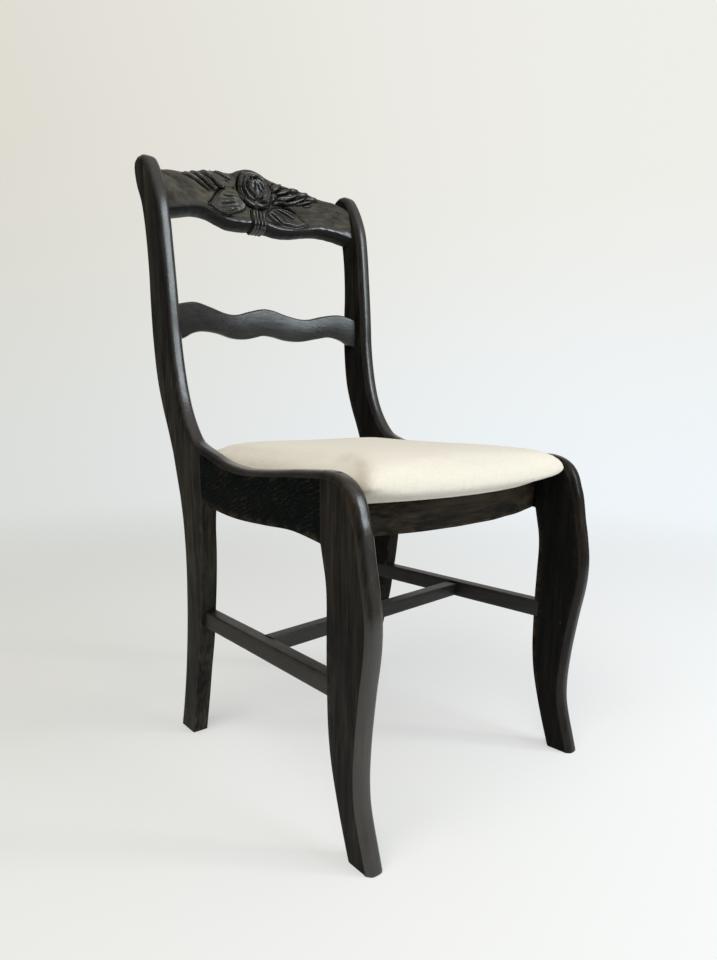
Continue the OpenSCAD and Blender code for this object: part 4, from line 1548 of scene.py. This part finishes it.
@dataclass
class BarMaker:
    """The stretchers and the rear rail, made by one tree."""

    foot_front: float = -191.5
    foot_rear: float = 126.0
    embed: float = 7.0
    depth_in_board: float = -14.6
    left_height: float = 204.0
    right_height: float = 217.0
    cross_y: float = -37.0
    cross_low: float = 207.5
    cross_high: float = 216.5
    sizes: ChairSizes = SIZES

    def bars(self) -> list[SquareBar]:
        """List the four bars.

        Returns:
            The bars.
        """
        s, out = self.sizes, []
        for side, level in ((Side.LEFT, self.left_height), (Side.RIGHT, self.right_height)):
            ends = np.array([
                [self.depth_in_board, self.foot_front - self.embed, level],
                [self.depth_in_board, self.foot_rear + self.embed, level]])
            out.append(SquareBar(
                f"side_stretcher_{side.name.lower()}", *map(tuple, s.place(ends, side)),
                18.8, 24.8, Grain.ALONG_Y, 11 + side.value))
        rear_y = s.rear_joint + 43.0
        for node, y, tuck, levels, width, height, seed in (
            ("cross_stretcher", self.cross_y, 2.0, (self.cross_low, self.cross_high),
             20.0, 20.0, 21),
            ("rear_rail", rear_y, 1.5, (s.rail_middle, s.rail_middle), 22.0, 38.0, 31),
        ):
            half = s.inner_half(y) + tuck
            out.append(SquareBar(
                node, (-half, y, levels[0]), (half, y, levels[1]), width, height,
                Grain.ALONG_X, seed))
        return out

    def tree(self) -> GrowthBench:
        """Build the tree of one bar.

        Returns:
            The tree.
        """
        t = GrowthBench(
            "square_bar", Start="Vector", End="Vector", Width="Float", Height="Float",
            Arris="Float", Unevenness="Float", Seed="Int", Finish="Material")
        size = {"Width": t.inlet["Width"], "Height": t.inlet["Height"]}
        line = t.out("GeometryNodeCurvePrimitiveLine", {
            "Start": t.inlet["Start"], "End": t.inlet["End"]})
        fine = t.out("GeometryNodeResampleCurve", {"Curve": line, "Count": 64})
        where = t.out("GeometryNodeInputPosition")
        cloud = t.add(
            "ShaderNodeTexNoise", {"Vector": where, "W": t.inlet["Seed"], "Scale": 9.0},
            noise_dimensions="4D").outputs["Color"]
        drift = t.out(
            "ShaderNodeVectorMath", {0: cloud, 1: (0.5, 0.5, 0.5)}, operation="SUBTRACT")
        drift = t.out(
            "ShaderNodeVectorMath", {0: drift, "Scale": t.inlet["Unevenness"]},
            operation="SCALE")
        moved = t.out("GeometryNodeSetPosition", {"Geometry": fine, "Offset": drift})
        upright = t.out("GeometryNodeSetCurveNormal", {"Curve": moved}, mode="Z_UP")
        square = t.out("GeometryNodeCurvePrimitiveQuadrilateral", size)
        soft = t.out(
            "GeometryNodeFilletCurve",
            {"Curve": square, "Count": 3, "Radius": t.inlet["Arris"]}, mode="POLY")
        split = t.out("GeometryNodeSubdivideCurve", {"Curve": soft, "Cuts": 3})
        parts = t.add("ShaderNodeSeparateXYZ", {0: where}).outputs
        shares = [
            t.math("DIVIDE", t.math("ABSOLUTE", part, 0.0), whole)
            for part, whole in zip(parts, size.values())]
        worn = t.ramp(t.math("MINIMUM", *shares), 0.4, 0.5)
        profile = t.out(
            "GeometryNodeStoreNamedAttribute",
            {"Geometry": split, "Name": "arris", "Value": worn},
            data_type="FLOAT", domain="POINT")
        t.end(t.out("GeometryNodeCurveToMesh", {
            "Curve": upright, "Profile Curve": profile, "Fill Caps": True}))
        return t

    def build(self) -> None:
        """Build and dress the bars."""
        tree = self.tree()
        for bar in self.bars():
            piece = make_piece(f"dressed_{bar.node}", np.zeros((0, 3)), [])
            finish = EbonisedFinish(f"ebonised {bar.node}", bar.grain).material()
            tree.grow(
                piece, Start=[v * MM for v in bar.start], End=[v * MM for v in bar.end],
                Width=bar.width * MM, Height=bar.height * MM, Arris=bar.arris * MM,
                Unevenness=bar.uneven * MM, Seed=bar.seed, Finish=finish)
            dress(piece, [finish], "ebonised_wood", bar.node)


@dataclass
class Screws:
    """The screws of the corner blocks and the seat, made by one tree."""

    head_r: float = 4.0
    head_h: float = 3.0
    shank_r: float = 1.95
    recess: float = 1.5
    slot_half: float = 0.62
    slot_reach: float = 2.4
    block_front: float = -155.0
    block_rear: float = 130.0
    rail_screw: float = 402.0
    seat_screw: float = 385.0
    front_share: float = 0.8
    rail_length: float = 18.5
    block_length: float = 27.0
    seat_length: float = 34.8
    sides: int = 32
    sizes: ChairSizes = SIZES

    def head(self) -> Piece:
        """Build one cross-recessed head, its underside at zero.

        Returns:
            The head, for the tree to copy.
        """
        radii = [0.35, 0.7, 1.0, 1.3, 1.6, 1.95, 2.3, 2.7, 3.1, 3.5, 3.8, self.head_r]
        n = self.sides
        turn = np.linspace(0, 2 * math.pi, n + 1)[:-1]
        points, faces = [(0.0, 0.0, -self.head_h + self.recess)], []
        for r in radii:
            for a in turn:
                x, y = r * math.cos(a), r * math.sin(a)
                slot = min(abs(x), abs(y)) < self.slot_half and r < self.slot_reach
                rise = self.head_h - 0.9 * (r / self.head_r) ** 3
                points.append((x, y, -(rise - (self.recess if slot else 0.0))))
        points += [(x, y, 0.0) for x, y, _ in points[-n:]] + [(0.0, 0.0, 0.0)]
        last = 1 + n * len(radii)
        for i in range(n):
            j = (i + 1) % n
            faces.append([0, 1 + j, 1 + i])
            faces += [[a + i, a + j, a + n + j, a + n + i] for a in range(1, last, n)]
            faces.append([last + i, last + j, len(points) - 1])
        return make_piece("screw_head", points, faces)

    def places(self) -> dict[str, list[tuple[Point3, Point3, float]]]:
        """List the screws of each node as (place, axis, length).

        Returns:
            The rows, by node name.
        """
        s, u = self.sizes, self.front_share
        front, rear, block, seat = self.block_front, self.block_rear, [], []
        c, n = math.cos(s.splay), math.sin(s.splay)
        front_y = front - s.front_bow * (1 - u * u) + 12.0
        for side in Side:
            k = side.value
            for y in (front + 31.2, s.rear_joint + 13.0):
                at = s.place(np.array([-36.0, y, s.rail_middle]), side)
                block.append((tuple(at), (k * c, n, 0.0), self.rail_length))
            block.append((
                (k * u * s.inner_half(front), front_y, self.rail_screw),
                (0.0, -1.0, 0.0), self.block_length))
            block.append((
                (k * (s.inner_half(rear) - 44.0), rear - 12.0, self.rail_screw),
                (0.0, 1.0, 0.0), self.block_length))
            for y, away in ((front, 8.0), (rear, -8.0)):
                seat.append((
                    (k * (s.inner_half(y) - 31.0), y + away, self.seat_screw),
                    (0.0, 0.0, 1.0), self.seat_length))
        return {"corner_block_screws": block, "seat_screws": seat}

    def tree(self) -> GrowthBench:
        """Build the tree that sets a head and a shank on every point.

        Returns:
            The tree.
        """
        t = GrowthBench("screws", Head="Object", Shank="Float", Finish="Material")
        axis, reach = (
            t.out("GeometryNodeInputNamedAttribute", {"Name": name}, data_type=kind)
            for name, kind in (("axis", "FLOAT_VECTOR"), ("reach", "FLOAT")))
        turn = t.out("FunctionNodeAlignRotationToVector", {"Vector": axis}, axis="Z")
        shape = t.add("GeometryNodeObjectInfo", {"Object": t.inlet["Head"]})
        rod = t.out("GeometryNodeMeshCylinder", {
            "Vertices": 20, "Radius": t.inlet["Shank"], "Depth": 1.0})
        raised = t.out("GeometryNodeTransform", {
            "Geometry": rod, "Translation": (0.0, 0.0, 0.5)})
        size = t.out("ShaderNodeCombineXYZ", {0: 1.0, 1: 1.0, 2: reach})
        both = t.add("GeometryNodeJoinGeometry")
        for extra in (
            {"Instance": shape.outputs["Geometry"]}, {"Instance": raised, "Scale": size},
        ):
            feeds = {"Points": t.inlet["Geometry"], "Rotation": turn} | extra
            t.feed(both.inputs[0], t.out("GeometryNodeInstanceOnPoints", feeds))
        t.end(both.outputs[0])
        return t

    def build(self) -> None:
        """Build and dress both sets of screws."""
        tree, head = self.tree(), self.head()
        finish = PlatedSteelFinish("plated screw steel").material()
        for node, screws in self.places().items():
            points, axes, lengths = zip(*screws)
            piece = make_piece(f"dressed_{node}", points, [])
            axis = piece.data.attributes.new("axis", "FLOAT_VECTOR", "POINT")
            axis.data.foreach_set("vector", np.ravel(axes))
            mark(piece, reach=np.array(lengths) * MM)
            tree.grow(piece, Head=head, Shank=self.shank_r * MM, Finish=finish)
            dress(piece, [finish], "zinc_steel", node)
        bpy.data.objects.remove(head)


@dataclass
class SeatPad:
    """The stuffed seat pad in its linen cover.

    Each row of the profile holds how far the pad is drawn in, the share of
    its height, and how far its front follows the rail.
    """

    low: float = 409.3
    height: float = 54.0
    gap: float = 1.0
    front: float = 56.0
    front_swell: float = 6.0
    tuck: float = 2.0
    rear: float = 55.0
    corner: float = 13.0
    margin: float = 25.0
    well: float = 412.0
    voxel: float = 5.0
    pressure: float = 4.0
    frames: int = 20
    cap: float = 4.0
    held_height: float = 16.0
    pleat_pitch: float = 17.0
    pleat_depth: float = 0.55
    pleats_from: float = -165.0
    side_steps: int = 40
    front_steps: int = 28
    profile: tuple[Point3, ...] = (
        (2, 0, 1), (0.6, 0.06, 0.66), (0, 0.16, 0.28), (0, 0.28, 0.07), (0, 0.42, 0),
        (3, 0.58, 0), (9, 0.72, 0), (22, 0.83, 0), (48, 0.92, 0), (85, 0.98, 0),
        (125, 1, 0))
    sizes: ChairSizes = SIZES

    def half(self, y: Array | float, inset: float) -> Array | float:
        """Return half the pad's width at a depth, less an inset."""
        return self.sizes.inner_half(y) - self.gap - inset

    def front_y(self, u: float, inset: float, tuck: float) -> float:
        """Find the depth of the pad's front edge.

        Args:
            u: Place across the front, from -1 to 1.
            inset: How far the edge is drawn in.
            tuck: How far it follows the rail, from 0 to 1.

        Returns:
            The depth.
        """
        s, bow = self.sizes, 1 - u * u
        full = s.front_joint + inset - (self.front + self.front_swell * bow) * (1 - tuck)
        return full + (3.0 - self.tuck - s.front_bow * bow) * tuck

    def plan(self, inset: float, tuck: float) -> Array:
        """Lay out one ring of the pad in plan.

        Args:
            inset: How far the ring is drawn in.
            tuck: How far its front follows the rail, from 0 to 1.

        Returns:
            Rows of (x, y).
        """
        s, steps = self.sizes, self.front_steps
        r = max(self.corner - inset / 4, 4.0)
        back, ahead = s.rear_joint + self.rear - inset, self.front_y(1, inset, tuck)
        wide, near = self.half(back, inset), self.half(ahead, inset)
        turn = np.radians((67.5, 45, 22.5))
        right = [(k * (wide - r) / 8, back) for k in range(1, 9)]
        right += [(wide - r + r * math.cos(a), back - r + r * math.sin(a)) for a in turn]
        right += [
            (self.half(y, inset), y) for y in np.linspace(back - r, ahead + r, self.side_steps)]
        right += [
            (near - r + r * math.cos(a), ahead + r - r * math.sin(a)) for a in turn[::-1]]
        right += [
            (u * (near - r), self.front_y(u, inset, tuck)) for u in 1 - np.arange(steps) / steps]
        left = [(-x, y) for x, y in right[::-1]]
        return np.array(right + [(0.0, self.front_y(0, inset, tuck))] + left + [(0.0, back)])

    def blank(self) -> Piece:
        """Build the pad's closed form before it is filled.

        Returns:
            The new piece.
        """
        rings = []
        for inset, share, tuck in smooth_curve(self.profile, 54):
            plan = self.plan(max(inset, 0.0) + 0.6, min(max(tuck, 0.0), 1.0))
            z = self.low + share * (self.height - 1.2)
            rings.append(np.column_stack([plan, np.full(len(plan), z)]))
        return tube_piece("linen_seat_pad", np.array(rings))

    def calm(self, piece: Piece, factor: float, rounds: int) -> None:
        """Smooth the pad and keep the result.

        Args:
            piece: The pad.
            factor: Share of the smoothing.
            rounds: Number of rounds.
        """
        modifier = piece.modifiers.new("calm", "SMOOTH")
        modifier.factor, modifier.iterations = factor, rounds
        keep_result(piece)

    def points(self, piece: Piece) -> Array:
        """Return the piece's points in millimetres.

        Args:
            piece: The piece to read.

        Returns:
            Rows of (x, y, z).
        """
        flat = np.empty(3 * len(piece.data.vertices), np.float32)
        piece.data.vertices.foreach_get("co", flat)
        return flat.reshape(-1, 3).astype(float) / MM

    def move(self, piece: Piece, points: Array) -> None:
        """Write the piece's points."""
        piece.data.vertices.foreach_set("co", (points * MM).astype(np.float32).ravel())
        piece.data.update()

    def fill(self, piece: Piece) -> None:
        """Let pressure swell the cover, with its tacked edge held.

        Args:
            piece: The pad.
        """
        before = self.points(piece)
        held = piece.vertex_groups.new(name="held")
        weights = 1 - ease((before[:, 2] - self.low) / self.held_height - 0.2)
        for k, weight in enumerate(weights):
            if weight > 0:
                held.add([k], float(weight), "REPLACE")
        cloth = piece.modifiers.new("cover", "CLOTH")
        for name, value in {
            "quality": 6, "use_pressure": True, "uniform_pressure_force": self.pressure,
            "vertex_group_mass": "held", "tension_stiffness": 20.0,
            "compression_stiffness": 4.0, "bending_stiffness": 12.0,
        }.items():
            setattr(cloth.settings, name, value)
        cloth.settings.effector_weights.gravity = 0.0
        cloth.point_cache.frame_start, cloth.point_cache.frame_end = 1, self.frames
        for frame_number in range(1, self.frames + 1):
            bpy.context.scene.frame_set(frame_number)
        keep_result(piece)
        bpy.context.scene.frame_set(1)
        moved = self.points(piece) - before
        far = np.linalg.norm(moved, axis=1, keepdims=True)
        soft_cap = self.cap * np.tanh(far / self.cap)
        self.move(piece, before + moved * soft_cap / np.maximum(far, 1e-6))
        piece.vertex_groups.clear()
        self.calm(piece, 0.5, 10)

    def settle(self, piece: Piece) -> None:
        """Press the pad against its neighbours, pucker and flatten its foot.

        Args:
            piece: The pad.
        """
        s, p = self.sizes, self.points(piece)
        p[:, 2] = self.low + (p[:, 2] - self.low) * self.height / (p[:, 2].max() - self.low)
        wall = s.inner_half(p[:, 1]) - 0.7
        x = p[:, 0] = np.clip(p[:, 0], -wall, wall)
        p[:, 1] = np.minimum(p[:, 1], s.rear_joint + self.rear + 1.5)
        rise = p[:, 2] - self.low
        ahead = ease((self.pleats_from - p[:, 1]) / 20.0)
        run = x + 6 * hand_noise(x, rise * 0, 70.0, 41)
        swing = 0.6 + 0.4 * hand_noise(x, rise * 0, 90.0, 42)
        depth = self.pleat_depth * ahead * ease(1 - np.abs(rise - 6.0) / 12.0)
        p[:, 1] += depth * np.sin(2 * math.pi * run / self.pleat_pitch) * swing
        p[:, 2] += 0.5 * hand_noise(x, p[:, 1], 150.0, 43) * ease((rise - 38) / 8)
        edge, foot = self.plan(0.0, 1.0), p[:, 2] < self.low + 2.2
        away, _, _ = path_distance(p[foot, 0], p[foot, 1], [*edge[::2], edge[0]])
        inside = inside_outline(p[foot, 0], p[foot, 1], edge)
        p[foot, 2] = np.where(inside & (away > self.margin), self.well, self.low)
        share = x / self.half(s.front_joint, 0.0)
        face = s.front_joint + 2.0 - s.front_bow * (1 - share**2)
        nose = ease((face - p[:, 1]) / 8.0) * ease((28.0 - rise) / 24.0)
        p[:, 2] += nose * (1.0 + 5.0 * share**4)
        self.move(piece, p)

    def lay_cloth(self, piece: Piece) -> None:
        """Lay the weave's map over the pad and mark its tan stains and painted shade.

        Args:
            piece: The pad.
        """
        mesh, p = piece.data, self.points(piece)
        normal = np.empty(3 * len(mesh.vertices), np.float32)
        mesh.vertices.foreach_get("normal", normal)
        drop = np.clip(self.low + self.height - 4 - p[:, 2], 0, None)
        flat = p[:, :2] + normal.reshape(-1, 3)[:, :2] * drop[:, None]
        loops = np.empty(len(mesh.loops), np.int32)
        mesh.loops.foreach_get("vertex_index", loops)
        layer = mesh.uv_layers.new(name="cloth")
        layer.data.foreach_set("uv", (flat[loops] * MM).astype(np.float32).ravel())
        wall = self.sizes.inner_half(p[:, 1])
        back = self.sizes.rear_joint + self.rear
        left, right, rear = (
            np.exp(-np.clip(away, 0, None) / reach)
            for away, reach in (
                (p[:, 0] + wall, 14.0), (wall - p[:, 0], 12.0), (back - p[:, 1], 12.0)))
        corner = np.exp(-np.hypot(p[:, 0] + 165, p[:, 1] + 205) / 42.0)
        # Tan stains along the left edge, less near the front corner; painted shade along the
        # right and rear edges.
        mark(piece, soil=(0.6 - 0.35 * corner) * left + 0.2 * right + 0.2 * rear)

    def build(self) -> None:
        """Build, fill and dress the pad."""
        piece = self.blank()
        even = piece.modifiers.new("even", "REMESH")
        even.mode, even.voxel_size = "VOXEL", self.voxel * MM
        self.calm(piece, 0.6, 14)
        self.fill(piece)
        smooth = piece.modifiers.new("smooth", "SUBSURF")
        smooth.levels = smooth.render_levels = 1
        keep_result(piece)
        self.settle(piece)
        outward(piece.data)
        self.lay_cloth(piece)
        finish = LinenFinish("cream linen").material()
        dress(piece, [finish], "cream_linen", "seat_foam", "seat_cover")


class HiddenJoinery:
    """The blocks, dowels and board that stay as the frame has them."""

    def finish(self, name: str) -> str | None:
        """Find a node's timber.

        Args:
            name: Name of the node.

        Returns:
            The timber's name, or None.
        """
        if name == "seat_board":
            return "raw plywood"
        if name in ("post_rail_dowels", "side_stretcher_dowels"):
            return "raw beech lengthways"
        if name == "leg_rail_dowels":
            return "raw beech upright"
        if name.endswith("dowels"):
            return "raw beech across"
        blocks = name.startswith("corner_block_") and not name.endswith("screws")
        return "raw beech upright" if blocks else None

    def build(self) -> None:
        """Give each node its timber."""
        finishes = {
            name: RawTimberFinish(name, grain, *tones).material()
            for name, grain, *tones in (
                ("raw beech across", Grain.ALONG_X), ("raw beech upright", Grain.ALONG_Z),
                ("raw beech lengthways", Grain.ALONG_Y),
                ("raw plywood", Grain.ALONG_X, (0.47, 0.33, 0.19), (0.33, 0.21, 0.11), 900.0))}
        for name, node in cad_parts.items():
            timber = self.finish(name)
            if timber:
                for slot in node.material_slots:
                    slot.material = finishes[timber]
                LOG.info("%s: finish %s", name, timber)


@dataclass(frozen=True)
class Lamp:
    """A soft upright lamp aimed at the seat, in metres and watts."""

    name: str
    way: Point3
    far: float
    watts: float
    size: Point2
    colour: Colour
    mirrored: bool = True
    aim: Point3 = (0.0, 0.0, 0.4)

    def build(self) -> None:
        """Add the lamp, seen in polished wood only if it is mirrored."""
        data = bpy.data.lights.new(self.name, "AREA")
        data.energy, data.color, data.shape = self.watts, self.colour, "RECTANGLE"
        data.size, data.size_y = self.size
        lamp = bpy.data.objects.new(self.name, data)
        lamp.visible_glossy = self.mirrored
        way = Vector(self.way).normalized()
        lamp.matrix_world = (
            Matrix.Translation(way * self.far + Vector(self.aim))
            @ way.to_track_quat("Z", "Y").to_matrix().to_4x4())
        bpy.context.scene.collection.objects.link(lamp)


@dataclass
class Studio:
    """The camera, the lamps, the room's light and the pale floor; floor and wall are painted
    darker towards the left.

    The sky's numbers are its strength away from the window, towards it and
    overhead. The lift and the bounce are the floor's own light, as the camera
    sees it and as it falls on the chair.
    """

    eye: Point3 = (-0.6683, -0.7335, 0.5230)
    yaw: float = 0.7434
    pitch: float = 0.2617
    roll: float = 0.0127
    lens: float = 25.22
    shift: float = 0.1024
    lamps: tuple[Lamp, ...] = (
        Lamp("window", (0.44, -0.90, 0.56), 3.05, 40.0, (1.65, 1.35), (0.82, 0.93, 1.0)),
        Lamp("room", (-0.72, -0.30, 0.74), 2.7, 49.0, (2.4, 2.0), (1.0, 0.95, 0.87), False),
        Lamp("low window", (0.66, -0.76, 0.34), 3.4, 26.0, (0.4, 0.3), (1.0, 0.95, 0.88),
             False))
    sky: Point3 = (0.05, 0.3, 0.38)
    sky_colour: Colour = (1.0, 0.97, 0.92)
    # The wall's colours away from the window side and towards it, and its tints low and high:
    # painted shade and light.
    wall: tuple[Colour, Colour] = ((0.69, 0.665, 0.605), (0.87, 0.87, 0.855))
    wall_tint: tuple[Colour, Colour] = ((1.0, 1.055, 1.11), (0.99, 0.985, 0.95))
    # The floor's colours on the left and on the right: the darker left one is painted shade.
    pale: tuple[Colour, Colour] = ((0.73, 0.735, 0.71), (0.86, 0.88, 0.895))
    glow: float = 1.19
    lift: float = 0.45
    bounce: float = 0.25
    fade: Point2 = (0.8, 2.8)
    floor_half: float = 6000.0

    def camera(self) -> None:
        """Set the camera where the picture was taken."""
        cp, sp = math.cos(self.pitch), math.sin(self.pitch)
        right = Vector((math.cos(self.yaw), -math.sin(self.yaw), 0.0))
        ahead = Vector((math.sin(self.yaw) * cp, math.cos(self.yaw) * cp, -sp))
        up = right.cross(ahead)
        c, s = math.cos(self.roll), math.sin(self.roll)
        turn = Matrix((c * right + s * up, -s * right + c * up, -ahead))
        data = bpy.data.cameras.new("camera")
        data.lens, data.shift_y = self.lens, self.shift
        data.clip_start, data.clip_end = 0.05, 60.0
        camera = bpy.data.objects.new("camera", data)
        camera.matrix_world = Matrix.Translation(self.eye) @ turn.transposed().to_4x4()
        bpy.context.scene.collection.objects.link(camera)
        bpy.context.scene.camera = camera

    def sky_light(self) -> None:
        """Light the room evenly and show a pale wall, with painted shade and light: darker
        towards the left, warmer above and bluer near the horizon.
        """
        world = bpy.data.worlds.new("room")
        world.use_nodes = True
        b = NodeBench(world.node_tree)
        ray = b.add("ShaderNodeLightPath").outputs
        way = b.add("ShaderNodeTexCoord").outputs["Generated"]
        least, most, above = self.sky
        power = b.math(
            "ADD", b.toward(way, self.lamps[0].way, 0.2, 1.0, least, most),
            b.toward(way, (0.1, -0.1, 1.0), 0.3, 1.0, 0.0, above))
        light = b.out("ShaderNodeBackground", {"Color": self.sky_colour, "Strength": power})
        # Painted shade and light on the wall: darker to the left, warmer above, bluer near the
        # horizon.
        wall = b.blend(b.toward(way, (0.74, -0.68, 0.25), -0.75, 0.45), *self.wall)
        tint = b.blend(b.toward(way, (0.0, 0.0, 1.0), -0.12, 0.32), *self.wall_tint)
        seen = b.out("ShaderNodeBackground", {"Color": b.blend(1.0, wall, tint, "MULTIPLY")})
        bounced = b.math("MAXIMUM", ray["Is Glossy Ray"], ray["Is Transmission Ray"])
        bounced = b.math("MULTIPLY", bounced, b.toward(way, (0.6, 0.78, 0.1), 0.55, 0.9))
        shown = b.math("MAXIMUM", ray["Is Camera Ray"], bounced)
        mixed = b.out("ShaderNodeMixShader", {0: shown, 1: light, 2: seen})
        b.add("ShaderNodeOutputWorld", {"Surface": mixed})
        bpy.context.scene.world = world

    def floor(self) -> None:
        """Lay a pale floor, painted darker towards the left, that fades into the wall."""
        r = self.floor_half
        corners = [(-r, -r, 0.0), (r, -r, 0.0), (r, r, 0.0), (-r, r, 0.0)]
        floor = make_piece("floor", corners, [(0, 1, 2, 3)])
        b = FinishBench("pale floor")
        # Painted shade: the floor grows darker towards the left of the view.
        pale = b.blend(b.toward(b.coords, (0.736, -0.677, 0.0), -1.1, 0.9), *self.pale)
        b.paint(Base_Color=pale, Roughness=0.8, Specular_IOR_Level=0.15)
        ray = b.add("ShaderNodeLightPath").outputs
        glow = b.out("ShaderNodeEmission", {"Color": pale, "Strength": self.glow})
        lift = b.math("MULTIPLY", ray["Is Camera Ray"], self.lift)
        lifted = b.out("ShaderNodeMixShader", {0: lift, 1: b.shader.outputs[0], 2: glow})
        power = b.math("MULTIPLY", ray["Is Diffuse Ray"], self.bounce)
        bounce = b.out("ShaderNodeEmission", {"Color": pale, "Strength": power})
        both = b.out("ShaderNodeAddShader", {0: lifted, 1: bounce})
        far = b.add("ShaderNodeVectorMath", {0: b.coords}, operation="LENGTH").outputs["Value"]
        b.feed(b.surface, b.out("ShaderNodeMixShader", {
            0: b.ramp(far, *self.fade, smooth=True), 1: both,
            2: b.out("ShaderNodeBsdfTransparent")}))
        floor.data.materials.append(b.material)

    def build(self) -> None:
        """Set up the whole studio."""
        self.camera()
        for lamp in self.lamps:
            lamp.build()
        self.sky_light()
        self.floor()
        bpy.context.scene.view_settings.view_transform = "Standard"


def main() -> None:
    """Build every piece of the chair and the studio round it."""
    logging.basicConfig(level=logging.INFO, format="%(name)s: %(message)s")
    for side in Side:
        SideFrame(side).build()
    for part in (
        FrontRail(), CrestRail(), BackSlat(), BarMaker(), Screws(), SeatPad(),
        HiddenJoinery(), Studio(),
    ):
        part.build()


if __name__ == "__main__":
    main()
